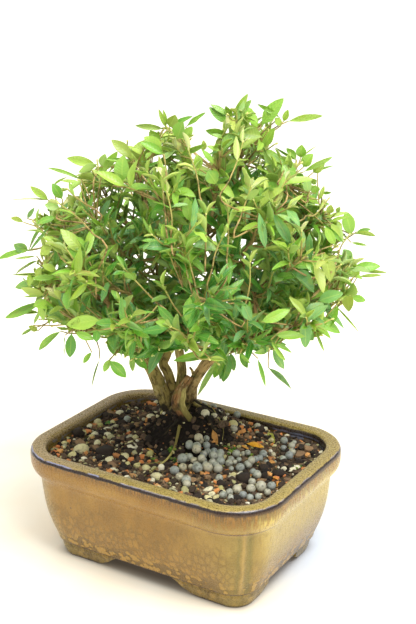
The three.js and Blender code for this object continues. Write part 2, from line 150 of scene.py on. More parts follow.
# %% [markdown]
# ## Finishes as recipes
# A finish is a Principled shader with a small graph of nodes in front of it. Writing each node out takes a
# dozen lines, so a recipe keeps the node tree and adds one node a call. Its patterns read object coordinates,
# or an attribute that the mesh carries, and never the camera. Colour is built up as a glazer does it: a first
# skin, then one cover after the other, each where its mask lets it show.

# %% Write a finish
def paint(code):
    """A linear colour from a hex code as a paint chart gives it."""
    channels = [int(code[k : k + 2], 16) / 255 for k in (0, 2, 4)]
    linear = [c / 12.92 if c <= 0.04045 else ((c + 0.055) / 1.055) ** 2.4 for c in channels]
    return (*linear, 1)


class Finish:
    """A material that is built node by node. Its skin is its colour so far."""

    def __init__(self, name, **settings):
        self.material = bpy.data.materials.new(name)
        self.material.use_nodes = True
        self.tree = self.material.node_tree
        self.shader = self.tree.nodes["Principled BSDF"]
        self.set_shader(settings)
        self.place = self.tree.nodes.new("ShaderNodeTexCoord").outputs["Object"]
        self.skin = None

    def feed(self, node, socket, value):
        """Gives a socket a number, a colour code or what another node puts out."""
        if isinstance(value, bpy.types.NodeSocket):
            self.tree.links.new(value, node.inputs[socket])
        else:
            node.inputs[socket].default_value = paint(value) if isinstance(value, str) else value

    def set_shader(self, settings):
        for socket, value in settings.items():
            self.feed(self.shader, socket.replace("_", " "), value)

    def node(self, kind, inputs, output=0, **settings):
        node = self.tree.nodes.new("ShaderNode" + kind)
        for key, value in settings.items():
            setattr(node, key, value)
        for socket, value in inputs.items():
            self.feed(node, socket, value)
        return node.outputs[output]

    def stretched(self, x, y, z):
        return self.node("Mapping", {"Vector": self.place, "Scale": (x, y, z)})

    def noise(self, size, detail=2, vector=None, roughness=0.5):
        """Clouds whose lumps are about size millimetres across."""
        inputs = {"Vector": vector or self.place, "Scale": 1000 / size}
        return self.node("TexNoise", {**inputs, "Detail": detail, "Roughness": roughness})

    def cells(self, size, feature="F1", vector=None):
        inputs = {"Vector": vector or self.place, "Scale": 1000 / size}
        return self.node("TexVoronoi", inputs, "Distance", feature=feature)

    def attribute(self, name, output="Fac"):
        return self.node("Attribute", {}, output, attribute_name=name)

    def parts(self, vector):
        """The X, Y and Z of a vector."""
        return self.node("SeparateXYZ", {"Vector": vector}).node.outputs

    def vectors(self, operation, a, b=(0, 0, 0), output="Vector"):
        return self.node("VectorMath", {0: a, 1: b}, output, operation=operation)

    def distance(self, point):
        """Metres from a point of the frame."""
        return self.vectors("DISTANCE", self.place, point, "Value")

    def maths(self, operation, a, b=0.0):
        return self.node("Math", {0: a, 1: b}, operation=operation)

    def times(self, a, b):
        return self.maths("MULTIPLY", a, b)

    def plus(self, a, b):
        return self.maths("ADD", a, b)

    def minus(self, a, b):
        return self.maths("SUBTRACT", a, b)

    def band(self, value, low, high, top=1.0, bottom=0.0):
        """Goes from bottom to top as the value goes from low to high."""
        inputs = {"Value": value, "From Min": low, "From Max": high, "To Min": bottom, "To Max": top}
        return self.node("MapRange", inputs, interpolation_type="SMOOTHSTEP")

    def wander(self, size, most, detail=3):
        """Drifts between minus and plus the most from place to place."""
        return self.band(self.noise(size, detail), 0.3, 0.7, most, -most)

    def ramp(self, value, *stops):
        node = self.tree.nodes.new("ShaderNodeValToRGB")
        marks = node.color_ramp.elements
        while len(marks) < len(stops):
            marks.new(0.5)
        for mark, (at, colour) in zip(marks, stops):
            mark.position = at
            mark.color = paint(colour)
        self.feed(node, "Fac", value)
        return node.outputs["Color"]

    def mix(self, factor, a, b):
        return self.node("Mix", {0: factor, 6: a, 7: b}, 2, data_type="RGBA")

    def cover(self, mask, colour):
        """Lays a colour over the skin where the mask says."""
        self.skin = self.mix(mask, self.skin, colour)

    def patches(self, size, detail, low, high, colour, most=1.0):
        """Covers the skin in clouds, from where their noise passes low to in full where it passes high."""
        self.cover(self.band(self.noise(size, detail), low, high, most), colour)

    def bump(self, height, depth, normal=None):
        """A relief of depth millimetres, over another one if that is given."""
        inputs = {"Height": height, "Distance": depth / 1000, "Strength": 1.0}
        if normal:
            inputs["Normal"] = normal
        return self.node("Bump", inputs)

    def done(self, **settings):
        """Hands the skin and the last settings to the shader."""
        self.feed(self.shader, "Base Color", self.skin)
        self.set_shader(settings)
        return self.material


print("a recipe can use:", [name for name in vars(Finish) if not name.startswith("_")])

# %% [markdown]
# ## Camera, floor and light
# The pot is seen from a little above and from its front right corner, through a long lens, so its edges
# converge only slightly. It stands on a white sweep under soft light from all round, with the brightest
# panel high on the right. The floor isn't part of the object, so it is declared as stage.

# %% Camera
TURN = math.radians(31.35)
LIFT = math.radians(18.67)
LOOK_AT = Vector((14.08, 0, 141.46))
DISTANCE = 594.33
LENS = 66.57


def heading(turn, lift):
    """The direction of what stands round to the right by a turn, and up by a lift."""
    return Vector((math.sin(turn) * math.cos(lift), -math.cos(turn) * math.cos(lift), math.sin(lift)))


backward = heading(TURN, LIFT)
camera = object_of("camera", bpy.data.cameras.new("camera"))
camera.data.sensor_width = 36
camera.data.lens = LENS
camera.location = to_frame @ (LOOK_AT + DISTANCE * backward)
camera.rotation_euler = (-backward).to_track_quat("-Z", "Y").to_euler()
camera.data.clip_start = 0.01
bpy.context.scene.camera = camera
print("camera at, m:", [round(v, 3) for v in camera.location])

# %% Floor and room
# The sweep is cream and carries painted light: a painted cool shadow right of the pot, painted dark shade
# under the pot between its feet, and a faint emission, warm bounce near the pot and stronger farther off.
floor_bm = bmesh.new()
bmesh.ops.create_grid(floor_bm, x_segments=1, y_segments=1, size=9000)
floor = settle("floor", floor_bm, [])
floor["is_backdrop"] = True
white = Finish("white_sweep", Roughness=0.9)
white.skin = white.ramp(white.noise(60, 3), (0.3, "fcf2dc"), (0.7, "fdf9ea"))
shadow_side = white.distance((0.085, 0.03, 0))
# Painted shadow: a cool blue tint where the pot's shadow falls, right of it.
white.cover(white.band(shadow_side, 0.075, 0.02, 0.9), "dce7f7")
off_middle = white.vectors("SUBTRACT", white.place, pot_middle)
off_middle = white.parts(white.vectors("ABSOLUTE", off_middle))
# Painted shade: dark brown under the pot, between its feet.
painted_shade_under_pot = white.times(white.band(off_middle["X"], 0.064, 0.05), white.band(off_middle["Y"], 0.045, 0.033))
white.cover(painted_shade_under_pot, "75665c")
reach = white.distance((0, 0, 0))
# Painted light: the sweep glows, warm near the pot as painted bounce from it, and stronger farther off.
painted_glow_colour = white.mix(white.band(reach, 0.14, 0.36), "ffeccb", "ffffff")
painted_glow_strength = white.band(reach, 0.06, 0.45, 0.5, 0.05)
white.done(Emission_Color=painted_glow_colour, Emission_Strength=painted_glow_strength, Specular_IOR_Level=0.1)
floor.data.materials.append(white.material)

world = bpy.data.worlds.new("soft_room")
world.use_nodes = True
world.node_tree.nodes["Background"].inputs["Color"].default_value = (1, 1, 1, 1)
world.node_tree.nodes["Background"].inputs["Strength"].default_value = 0.72
bpy.context.scene.world = world
bpy.context.scene.view_settings.view_transform = "Standard"
print("floor nodes:", len(white.tree.nodes))

# %% Lights
TREE_MIDDLE = Vector((0, 0, 110))


def panel(name, turn, lift, distance, size, power):
    """A square softbox that faces the tree. Its bearing is in degrees, the rest in metres and watts."""
    out = heading(math.radians(turn), math.radians(lift))
    lamp = object_of(name, bpy.data.lights.new(name, "AREA"))
    lamp.location = to_frame @ TREE_MIDDLE + distance * out
    lamp.rotation_euler = (-out).to_track_quat("-Z", "Y").to_euler()
    lamp.data.shape = "SQUARE"
    lamp.data.size = size
    lamp.data.energy = power


panel("key_panel", 70, 55, 1.1, 0.6, 10.5)
panel("top_panel", 20, 82, 1.2, 0.9, 8)
panel("fill_panel", -35, 30, 1.3, 0.9, 1)

# %% [markdown]
# ## The pot's outline
# The pot is press-moulded stoneware: a rounded rectangle that is drawn in by different amounts at different
# heights. So its shape is a plan, the rectangle, and a section, a list of heights and insets. One ring of
# edges is made from a four-cornered face whose corners are bevelled round, and it is extruded from station
# to station of the section. Each vertex remembers where it started, so that every ring keeps the corners'
# centres and the walls stay even.

# %% Plan and section
POT = {"length": 152, "width": 114.5, "corner": 28, "foot": 9.2}
SPAN_X = POT["length"] / 2 - POT["corner"]
SPAN_Y = POT["width"] / 2 - POT["corner"]
RING_STEP = 2.2

# A station of the section is a height, and how far the wall lies inside the rim's outline there.
OUTSIDE = [
    (9.2, 14.0), (9.35, 13.65), (9.9, 13.3), (12, 12.8), (14, 12.1), (16, 11.2), (18, 10.4), (20, 9.7),
    (23, 8.75), (26, 7.9), (30, 7.05), (34, 6.4), (38, 5.95), (42, 5.55), (45, 5.3), (47.2, 5.05),
    (48.6, 4.5), (49.8, 3.4), (51, 2.35), (52.4, 1.35), (54, 0.6), (56, 0.12), (58, 0), (60, 0),
    (61.6, 0.08), (62.6, 0.35), (63.4, 0.85), (63.85, 1.5),
]
LIP = [(64, 2.4), (64.05, 4), (64, 5.6), (63.9, 6.8), (63.6, 7.7), (63, 8.3), (62, 8.7)]
INSIDE = [(58, 9.1), (50, 9.9), (40, 11), (30, 13), (22, 15.5), (17, 19), (14.4, 22), (14, 25)]
SECTION = OUTSIDE + LIP + INSIDE
RIM_EDGE = SECTION.index((63.4, 0.85))


def plan_ring(bm):
    """The rim's outline as a ring of edges, with a vertex every few millimetres."""
    made = bmesh.ops.create_grid(bm, x_segments=1, y_segments=1, size=0.5)["verts"]
    bmesh.ops.scale(bm, vec=(POT["length"], POT["width"], 1), verts=made)
    arc = round(POT["corner"] * math.pi / 2 / RING_STEP)
    corners = {"affect": "VERTICES", "segments": arc, "profile": 0.5, "material": -1}
    bmesh.ops.bevel(bm, geom=made, offset=POT["corner"], offset_type="OFFSET", **corners)
    for edge in [e for e in bm.edges if e.calc_length() > 2 * RING_STEP]:
        bmesh.ops.subdivide_edges(bm, edges=[edge], cuts=round(edge.calc_length() / RING_STEP) - 1)
    bmesh.ops.delete(bm, geom=bm.faces[:], context="FACES_ONLY")
    start = bm.verts.layers.float_vector.new("start")
    for vert in bm.verts:
        vert[start] = on_outline(vert.co)
    return bm.edges[:]


def nearest_core(x, y):
    return Vector((clamp(x, -SPAN_X, SPAN_X), clamp(y, -SPAN_Y, SPAN_Y), 0))


def on_outline(co):
    core = nearest_core(co.x, co.y)
    return core + (Vector((co.x, co.y, 0)) - core).normalized() * POT["corner"]


def sweep(bm, ring, section):
    """Extrudes a ring of edges through the stations of a section. Returns the last ring."""
    start = bm.verts.layers.float_vector["start"]
    for number, (height, inset) in enumerate(section):
        if number:
            grown = bmesh.ops.extrude_edge_only(bm, edges=ring)["geom"]
            ring = [g for g in grown if isinstance(g, bmesh.types.BMEdge)]
            ring = [e for e in ring if all(v in grown for v in e.verts)]
        for vert in {v for e in ring for v in e.verts}:
            core = nearest_core(vert[start].x, vert[start].y)
            flat = core + (vert[start] - core) * (1 - inset / POT["corner"])
            vert.co = (flat.x, flat.y, height)
    return ring


trial = bmesh.new()
print("vertices round the pot:", len(plan_ring(trial)))
trial.free()

# %% [markdown]
# ## The pot's body and feet
# The body's section runs up the outside, over the banded lip and down to the floor, and is closed below by
# the underside. The feet are what is left of a low ring once its middles are cut away, as they are cut from
# the soft clay. Their arrises are rounded by a bevel that only touches the cut edges.

# %% Body and ring of feet
FOOT_RING = [
    (10.4, 14.3), (9.2, 14.5), (4.5, 15.6), (1.2, 16.8), (0.3, 17.3), (0, 18), (0, 23.2), (0.4, 23.9),
    (9.2, 24), (10.4, 24),
]


def swept(name, section, into_ring=False):
    """The plan swept along a section, with both its ends filled or with one bridged to the other."""
    bm = bmesh.new()
    first = plan_ring(bm)
    last = sweep(bm, first, section)
    if into_ring:
        bmesh.ops.bridge_loops(bm, edges=first + last)
    else:
        for loop in (last, first):
            bmesh.ops.edgeloop_fill(bm, edges=loop)
    bmesh.ops.recalc_face_normals(bm, faces=bm.faces)
    return object_of(name, bm)


def cut_or_join(target, other, how):
    step = target.modifiers.new(how, "BOOLEAN")
    step.operation = how
    step.solver = "EXACT"
    step.object = other


def applied(target, *used_up):
    """The target's mesh with its modifiers applied, as a bmesh. Removes the objects that it was made from."""
    seen = target.evaluated_get(bpy.context.evaluated_depsgraph_get())
    bm = bmesh.new()
    bm.from_mesh(seen.to_mesh())
    for spent in (target, *used_up):
        bpy.data.objects.remove(spent)
    return bm


body = swept("body", SECTION)
feet = swept("feet", FOOT_RING, into_ring=True)
print("foot ring faces:", len(feet.data.polygons))

# %% Cut the gaps between the feet
# A gap under the long sides and one under the short sides: width at the ground, width at its top, turn.
GAPS = [(69, 33, 0), (53, 24, math.pi / 2)]


def gap_cutter(ground, top, turn):
    """A bar under the pot whose ends rise from the ground to the pot's underside with an easy toe."""
    bm = bmesh.new()
    half = [(ground / 2 + 4, -3), (ground / 2 - 1.5, 0.2), (ground / 2 - 6, 1.6), (ground / 2 - 11, 4.4)]
    half += [(top / 2 + 3.5, 7.3), (top / 2, POT["foot"]), (top / 2 - 4, POT["foot"] + 0.02)]
    outline = half + [(-x, z) for x, z in reversed(half)]
    face = bm.faces.new([bm.verts.new((x, -90, z)) for x, z in outline])
    grown = bmesh.ops.extrude_face_region(bm, geom=[face])["geom"]
    bmesh.ops.translate(bm, vec=(0, 180, 0), verts=[g for g in grown if isinstance(g, bmesh.types.BMVert)])
    bmesh.ops.rotate(bm, matrix=Matrix.Rotation(turn, 3, "Z"), verts=bm.verts)
    bmesh.ops.recalc_face_normals(bm, faces=bm.faces)
    return object_of("gap", bm)


cutters = [gap_cutter(*gap) for gap in GAPS]
for cutter in cutters:
    cut_or_join(feet, cutter, "DIFFERENCE")
cut_feet = applied(feet, *cutters)
toes = [e for e in cut_feet.edges if len(e.link_faces) == 2 and e.calc_face_angle() > math.radians(38)]
toes = [e for e in toes if max(v.co.z for v in e.verts) < POT["foot"] + 0.5]
rounding = {"affect": "EDGES", "offset_type": "OFFSET", "segments": 3, "profile": 0.5, "material": -1}
bmesh.ops.bevel(cut_feet, geom=toes, offset=0.7, clamp_overlap=True, **rounding)
feet = object_of("feet", cut_feet)
print("rounded arrises:", len(toes))

# %% Drain holes, then one fired piece
DRAIN_RADIUS, DRAIN_ACROSS = 5.5, 27
drains = []
for side in (-1, 1):
    hole = bmesh.new()
    drill = {"segments": 32, "radius1": DRAIN_RADIUS, "radius2": DRAIN_RADIUS, "depth": 20}
    bmesh.ops.create_cone(hole, cap_ends=True, **drill)
    bmesh.ops.translate(hole, vec=(DRAIN_ACROSS * side, 0, 12), verts=hole.verts)
    drains.append(object_of("drain", hole))
cut_or_join(body, feet, "UNION")
for hole in drains:
    cut_or_join(body, hole, "DIFFERENCE")
pot_bm = applied(body, feet, *drains)
bmesh.ops.triangulate(pot_bm, faces=[f for f in pot_bm.faces if len(f.verts) > 4])
print("pot faces:", len(pot_bm.faces), "closed:", all(e.is_manifold for e in pot_bm.edges))

# %% [markdown]
# ## The glaze
# An ochre ash glaze is not one colour. It breaks dark where it thins over an edge, so a purple-brown line
# runs round both edges of the rim, with amber below it. On the rim it is olive and finely speckled. It has
# run down the wall in fine streaks and gathered at the bottom in drops with darker rims. Most of that follows
# the section, so each vertex is given its distance from the rim's outer edge along the section, and the
# finish reads that as an attribute. Height, from the object coordinates, places the drops and the feet.

# %% Mark the distance from the rim's edge
along = [0.0]
for (h0, i0), (h1, i1) in zip(SECTION, SECTION[1:]):
    along.append(along[-1] + math.hypot(h1 - h0, i1 - i0))


def inset_of(x, y):
    """How far a place is inside the rim's outline."""
    off = math.hypot(max(abs(x) - SPAN_X, 0), max(abs(y) - SPAN_Y, 0))
    deeper = min(SPAN_X - abs(x), SPAN_Y - abs(y))
    return POT["corner"] - off if off else POT["corner"] + deeper


def below_rim(co):
    """Millimetres along the section from the rim's edge: positive down the outside, negative inwards."""
    here = Vector((inset_of(co.x, co.y), co.z))
    best = (math.inf, 0)
    for k, (low, high) in enumerate(zip(SECTION, SECTION[1:])):
        a, b = [Vector((inset, height)) for height, inset in (low, high)]
        t = clamp((here - a).dot(b - a) / (b - a).length_squared, 0, 1)
        gap = (here - a.lerp(b, t)).length_squared
        best = min(best, (gap, blend_between(along[k], along[k + 1], t)))
    return along[RIM_EDGE] - best[1]


mark = pot_bm.verts.layers.float.new("below_rim")
for vert in pot_bm.verts:
    vert[mark] = below_rim(vert.co)
print("section length, mm:", round(along[-1], 1), "rim edge at", round(along[RIM_EDGE], 1))

# %% Mix the glaze
glaze = Finish("ochre_glaze", IOR=1.5)
spot = glaze.parts(glaze.vectors("SUBTRACT", glaze.place, pot_middle))
across, forth = [glaze.times(spot[axis], 1000) for axis in ("X", "Y")]
height = glaze.plus(glaze.times(spot["Z"], 1000), 1000 * pot_middle.z)
rim = glaze.attribute("below_rim")
streaks = glaze.noise(1.5, 3, glaze.stretched(1, 1, 0.22))
specks = glaze.noise(0.62, 2)
fine = glaze.noise(0.9, 3)


def near(value, middle, half_width, soft):
    """1 within half a width of the middle, fading to 0 over the soft edge."""
    off = glaze.maths("ABSOLUTE", glaze.minus(value, middle))
    return glaze.band(off, half_width + soft, half_width - soft)


def veil(strength, mask, colour):
    """A cover that lets some of the skin below show through."""
    glaze.cover(glaze.times(mask, strength), colour)


glaze.skin = glaze.ramp(glaze.noise(16, 4), (0.32, "876324"), (0.5, "936d2a"), (0.68, "9f7933"))
veil(0.55, glaze.band(across, 10, 68), "9b8a4c")
# Painted light: the right short side is painted paler and yellower, where the brightest panel falls on it.
veil(0.85, glaze.band(across, 66, 74), "d8c26c")
veil(0.5, glaze.band(streaks, 0.5, 0.72), "7f622e")
veil(0.45, glaze.band(fine, 0.56, 0.7), "785a28")

# The net that the glaze tore into as it ran: lines above, and beads at the foot of the wall.
net = glaze.cells(3.1, "DISTANCE_TO_EDGE", glaze.stretched(1, 1, 0.55))
falling = glaze.plus(height, glaze.wander(9, 8))
# Painted light: the lower wall is painted lighter and warmer, to lift the floor's shade on it.
veil(0.4, glaze.band(falling, 34, 14), "a9823a")
net_part = glaze.times(glaze.band(falling, 50, 24), glaze.band(across, 70, 58, 1, 0.35))
veil(0.62, glaze.times(glaze.band(net, 0.21, 0.07), net_part), "6b5220")
low_part = glaze.plus(height, glaze.wander(12, 3, 2))
ragged = glaze.wander(2.5, 0.07, 2)
drops = glaze.plus(glaze.cells(3.8), ragged)
pools = glaze.plus(glaze.cells(8), ragged)
bead = glaze.maths("MAXIMUM", glaze.band(drops, 0.5, 0.4), glaze.band(pools, 0.4, 0.33))
bead_row = glaze.times(glaze.band(low_part, 20, 14), glaze.band(height, 9.2, 10.5))
veil(0.85, bead_row, glaze.mix(bead, "6e5524", "ab8740"))

foot = glaze.mix(glaze.band(streaks, 0.4, 0.65), "87713a", "695426")
foot = glaze.mix(glaze.band(glaze.cells(5), 0.4, 0.3, 0.7), foot, "a18343")
foot = glaze.mix(glaze.band(height, 2.0, 0.4), foot, "33231a")
glaze.cover(glaze.band(height, 9.9, 9.2), foot)
print("glaze nodes so far:", len(glaze.tree.nodes))

# %% Corners and rim
# Each corner has a raised line where the two sides of the mould met, with a hollow beside it. The line leaves
# the corner's centre at 49 degrees from the long side.
SEAM_SIN, SEAM_COS = 0.755, 0.656
out_x = glaze.minus(glaze.maths("ABSOLUTE", across), SPAN_X)
out_y = glaze.minus(glaze.maths("ABSOLUTE", forth), SPAN_Y)
round_corner = glaze.minus(glaze.times(out_y, SEAM_COS), glaze.times(out_x, SEAM_SIN))
at_corner = glaze.times(glaze.band(out_x, 3, 8), glaze.band(out_y, 3, 8))
on_wall = glaze.times(near(height, 30, 20, 4), at_corner)
unsteady = glaze.plus(round_corner, glaze.wander(7, 0.35))
veil(0.35, glaze.times(glaze.band(height, 50, 46), near(round_corner, 1, 7, 6)), "8f8040")
ridge = glaze.times(on_wall, near(unsteady, 0, 0.9, 0.8))
# Painted shade: the hollow beside the raised line is painted darker olive, over its bumped relief.
shaded_hollow = glaze.times(on_wall, near(unsteady, -3.2, 1.4, 1.4))
veil(0.55, shaded_hollow, "66602e")
veil(0.45, glaze.times(on_wall, near(unsteady, 2.3, 0.8, 1.0)), "6e6630")
veil(0.6, ridge, "ae9052")

rim_flat = glaze.mix(glaze.band(across, 10, -60, 0.8), "b29c5c", "b69a70")
rim_flat = glaze.mix(glaze.band(specks, 0.47, 0.58), rim_flat, "857138")
rim_flat = glaze.mix(glaze.band(glaze.noise(0.8, 1), 0.63, 0.69), rim_flat, "473820")
glaze.cover(glaze.band(rim, 3, 0), rim_flat)

# Under the outer line the glaze runs down in fine dark streaks, which are longest at the right.
down = glaze.times(rim, glaze.band(across, -45, 60, 1, 1.9))
threads = glaze.noise(0.9, 3, glaze.stretched(1, 1, 0.12))
runs = glaze.plus(down, glaze.band(threads, 0.3, 0.7, 3.5, -3.5))
on_band = glaze.times(glaze.band(rim, 1.5, 2.1), glaze.band(runs, 13, 3.5))
veil(0.85, on_band, glaze.mix(glaze.band(threads, 0.4, 0.6), "8a6022", "442e12"))

inner = glaze.mix(glaze.band(glaze.noise(25, 2), 0.4, 0.6), "7d602b", "40312e")
inner = glaze.mix(glaze.band(across, -40, -60, 0.8), inner, "8a7436")
# Blue-grey patches on the inner wall: partly the glaze pooling lilac-grey, partly a painted sheen of
# reflected light.
inner = glaze.mix(glaze.band(glaze.noise(9, 2), 0.54, 0.62, 0.85), inner, "7c8195")
glaze.cover(glaze.band(rim, -8.6, -10.5), inner)
print("glaze nodes so far:", len(glaze.tree.nodes))

# %% Draw the broken lines and fire it
line_place = glaze.plus(rim, glaze.wander(5, 0.2))
dark = glaze.mix(glaze.noise(3, 2), "1b110d", "33241f")
glaze.cover(near(line_place, 0.8, 0.9, 0.35), dark)
glaze.cover(glaze.times(near(line_place, 1.9, 0.6, 0.7), glaze.band(across, 25, 60)), "3f2811")
shine = glaze.times(near(line_place, -0.2, 0.35, 0.25), glaze.band(glaze.noise(9, 2), 0.45, 0.55))
veil(0.85, glaze.times(shine, glaze.band(across, 20, -20, 1, 0.35)), "9498b8")
inner_line = glaze.times(near(line_place, -9.9, 1.9, 0.5), glaze.band(across, -62, -42, 1, 0.3))
veil(0.95, inner_line, dark)
inner_shine = glaze.times(near(line_place, -10.6, 0.5, 0.4), glaze.band(glaze.noise(11, 2), 0.45, 0.6))
veil(0.6, inner_shine, "7c8195")
seam = glaze.times(glaze.band(glaze.noise(22, 2), 0.4, 0.5), glaze.band(across, -10, 40, 1, 0.2))
veil(0.85, glaze.times(near(line_place, 15.2, 0.7, 0.5), seam), "584149")
veil(0.9, near(height, 9.6, 0.4, 0.3), "432f2c")
glaze.cover(glaze.band(glaze.cells(15), 0.045, 0.025), "3a2c22")

relief = glaze.bump(glaze.times(bead_row, bead), 0.35)
relief = glaze.bump(glaze.minus(ridge, shaded_hollow), 0.4, relief)
relief = glaze.bump(streaks, 0.05, relief)
relief = glaze.bump(specks, 0.035, relief)
glaze.done(Roughness=glaze.band(fine, 0.3, 0.7, 0.38, 0.2), Normal=relief)

pot = settle("pot_glazed", pot_bm, [glaze.material])
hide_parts("pot")
print("pot box, mm:", [round(1000 * v, 1) for v in pot.dimensions])

# %% [markdown]
# ## Drainage mesh
# Two squares of black plastic mesh keep the soil from falling through the drain holes. They are right as they
# are in the frame, so they only get a finish: dull moulded plastic, a little dusty from the soil on it.

# %% Mesh finish
mesh_plastic = Finish("screen_plastic", Roughness=0.55)
mesh_plastic.skin = "17181a"
mesh_plastic.patches(2.5, 3, 0.5, 0.7, "3a322a", 0.5)
mesh_plastic.done()
for side in ("left", "right"):
    screen = frame["nodes"]["drainage_screen_" + side].data
    screen.materials.clear()
    screen.materials.append(mesh_plastic.material)
print("drainage screens finished")

# %% [markdown]
# ## The ground
# The soil fills the pot to just under its rim and rises to a mound under the tree. It is one closed body: a
# fine grid for its top, trimmed to the pot's plan with a few planes round each corner, and a skirt that
# follows the pot's inside down to the floor. The crumbs of its surface are real relief from layered noise.

# %% Ground level
# The height at the wall, the mound's rise over it, how far it spreads, and where the tree stands.
EDGE, RISE, SPREAD = 58.5, 18.5, 24
BUTT = Vector((-10, 20, 0))


def mound(x, y):
    away = math.hypot(x - BUTT.x, y - BUTT.y)
    return EDGE + RISE * math.exp(-((away / SPREAD) ** 2))


def ground(x, y):
    lumps = math.sin(x * 0.53 + 1.3) * math.sin(y * 0.61 + 0.4) + math.sin(x * 1.17 - y * 0.9)
    return mound(x, y) + 0.35 * lumps


def crumbs(x, y):
    """The soil's fine relief, in millimetres."""
    coarse = noise.noise(Vector((x, y, 3)) * 0.45)
    fine = noise.fractal(Vector((x, y, 9)) * 0.9, 0.9, 2.1, 3)
    return 0.9 * coarse + 0.75 * fine


print("highest ground, mm:", round(ground(BUTT.x, BUTT.y), 1))

# %% Soil body
SOIL_INSET = 9.5
soil_bm = bmesh.new()
bmesh.ops.create_grid(soil_bm, x_segments=124, y_segments=90, size=0.5)
top_size = (POT["length"] - 2 * SOIL_INSET, POT["width"] - 2 * SOIL_INSET, 1)
bmesh.ops.scale(soil_bm, vec=top_size, verts=soil_bm.verts)
for sign_x in (-1, 1):
    for sign_y in (-1, 1):
        centre = Vector((sign_x * SPAN_X, sign_y * SPAN_Y, 0))
        for step in range(1, 9):
            turn = step * math.pi / 18
            out = Vector((sign_x * math.cos(turn), sign_y * math.sin(turn), 0))
            edge_place = centre + (POT["corner"] - SOIL_INSET) * out
            everything = soil_bm.verts[:] + soil_bm.edges[:] + soil_bm.faces[:]
            trim = {"plane_co": edge_place, "plane_no": out, "clear_outer": True}
            bmesh.ops.bisect_plane(soil_bm, geom=everything, dist=0.01, **trim)
start = soil_bm.verts.layers.float_vector.new("start")
for vert in soil_bm.verts:
    x, y = vert.co.xy
    vert[start] = on_outline(vert.co)
    vert.co.z = ground(x, y) + crumbs(x, y)
edge_ring = [e for e in soil_bm.edges if e.is_boundary]
soil_inside = [(58.0, SOIL_INSET), (50, 10.4), (40, 11.5), (30, 13.5), (22, 16), (17, 19.5), (14.5, 22.5)]
bottom = sweep(soil_bm, edge_ring, soil_inside)
bmesh.ops.edgeloop_fill(soil_bm, edges=bottom)
bmesh.ops.recalc_face_normals(soil_bm, faces=soil_bm.faces)
print("soil faces:", len(soil_bm.faces), "closed:", all(e.is_manifold for e in soil_bm.edges))

# %% Soil finish
peat = Finish("peaty_soil", Roughness=0.95)
fibres = peat.noise(2.2, 4, roughness=0.7)
peat.skin = peat.ramp(fibres, (0.3, "271e17"), (0.48, "4d3f30"), (0.6, "7e694f"), (0.72, "a88f6b"))
peat.patches(3.1, 2, 0.62, 0.7, "6b3a24", 0.8)
peat.patches(7, 3, 0.56, 0.68, "3b421c", 0.6)
# The soil is damp and almost black just before the butt.
damp_middle = to_frame @ (BUTT + Vector((2, -12, 68)))
from_damp = peat.plus(peat.distance(damp_middle), peat.wander(6, 0.005))
peat.cover(peat.band(from_damp, 0.035, 0.025, 0.92), "110d0b")
peat.done(Normal=peat.bump(peat.noise(0.9, 3), 0.4), Specular_IOR_Level=0.25)
soil = settle("soil_top", soil_bm, [peat.material])
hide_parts("soil")
print("soil box, mm:", [round(1000 * v, 1) for v in soil.dimensions])

# %% [markdown]
# ## Grains of grit, brick and bark
# The soil is dressed with cream pebbles, crushed brick and chips of bark, more than two thousand in all. So
# each kind has a few small master shapes of some dozen faces, which are copied with their own turn and size.
# Every copy carries a number, its tone, that the finish turns into one of the colours of its kind.

# %% Copy a master
def add_copy(bm, master, matrix, slot=0, **marks):
    """Adds a copy of a master mesh, and writes the marks to its vertices as attributes."""
    verts_before, faces_before = len(bm.verts), len(bm.faces)
    bm.from_mesh(master)
    bm.verts.ensure_lookup_table()
    bm.faces.ensure_lookup_table()
    fresh = bm.verts[verts_before:]
    bmesh.ops.transform(bm, matrix=matrix, verts=fresh)
    for name, value in marks.items():
        layer = bm.verts.layers.float[name]
        for vert in fresh:
            vert[layer] = value
    for face in bm.faces[faces_before:]:
        face.material_index = slot


def pile_bm(*marks, vectors=()):
    """An empty bmesh whose vertices can carry marks, which are numbers, and vectors."""
    bm = bmesh.new()
    for name in marks:
        bm.verts.layers.float.new(name)
    for name in vectors:
        bm.verts.layers.float_vector.new(name)
    return bm


def roughened(bm, amount, seed):
    draw = random.Random(seed)
    for vert in bm.verts:
        vert.co += jitter(draw, amount)


def pebble_master(seed):
    bm = bmesh.new()
    bmesh.ops.create_icosphere(bm, subdivisions=1, radius=1)
    roughened(bm, 0.22, seed)
    bmesh.ops.subdivide_edges(bm, edges=bm.edges, cuts=1, smooth=0.6, use_grid_fill=True)
    return mesh_of("pebble", bm)


def chip_master(seed):
    bm = bmesh.new()
    bmesh.ops.create_cube(bm, size=1.5)
    roughened(bm, 0.3, seed)
    bmesh.ops.bevel(bm, geom=bm.edges, offset=0.16, segments=1, affect="EDGES", profile=0.5, material=-1)
    return mesh_of("chip", bm)


def clod_master(seed):
    bm = bmesh.new()
    bmesh.ops.create_icosphere(bm, subdivisions=2, radius=1)
    for vert in bm.verts:
        vert.co *= 1 + 0.5 * noise.noise(vert.co * 1.7 + Vector((3 * seed, 0, 0)))
    roughened(bm, 0.1, seed)
    return mesh_of("clod", bm)


pebbles = [pebble_master(seed) for seed in range(6)]
chips = [chip_master(seed) for seed in range(6)]
clods = [clod_master(seed) for seed in range(5)]
print("faces of a pebble and a chip:", len(pebbles[0].polygons), len(chips[0].polygons))

# %% [markdown]
# ## Where the grains lie
# A table gives each kind its count, its sizes, its shape and how flat it lies. Places are drawn at random
# inside the wall. The mound under the tree stays almost bare, and larger stones keep off the pellets.

# %% Grain finishes
def grain_finish(name, *tones, rough=0.85, mottle="6b604a"):
    grit = Finish(name, Roughness=rough)
    grit.skin = grit.ramp(grit.attribute("tone"), *tones)
    grit.patches(1.6, 3, 0.5, 0.75, mottle, 0.5)
    return grit.done(Normal=grit.bump(grit.noise(0.7, 3), 0.25))


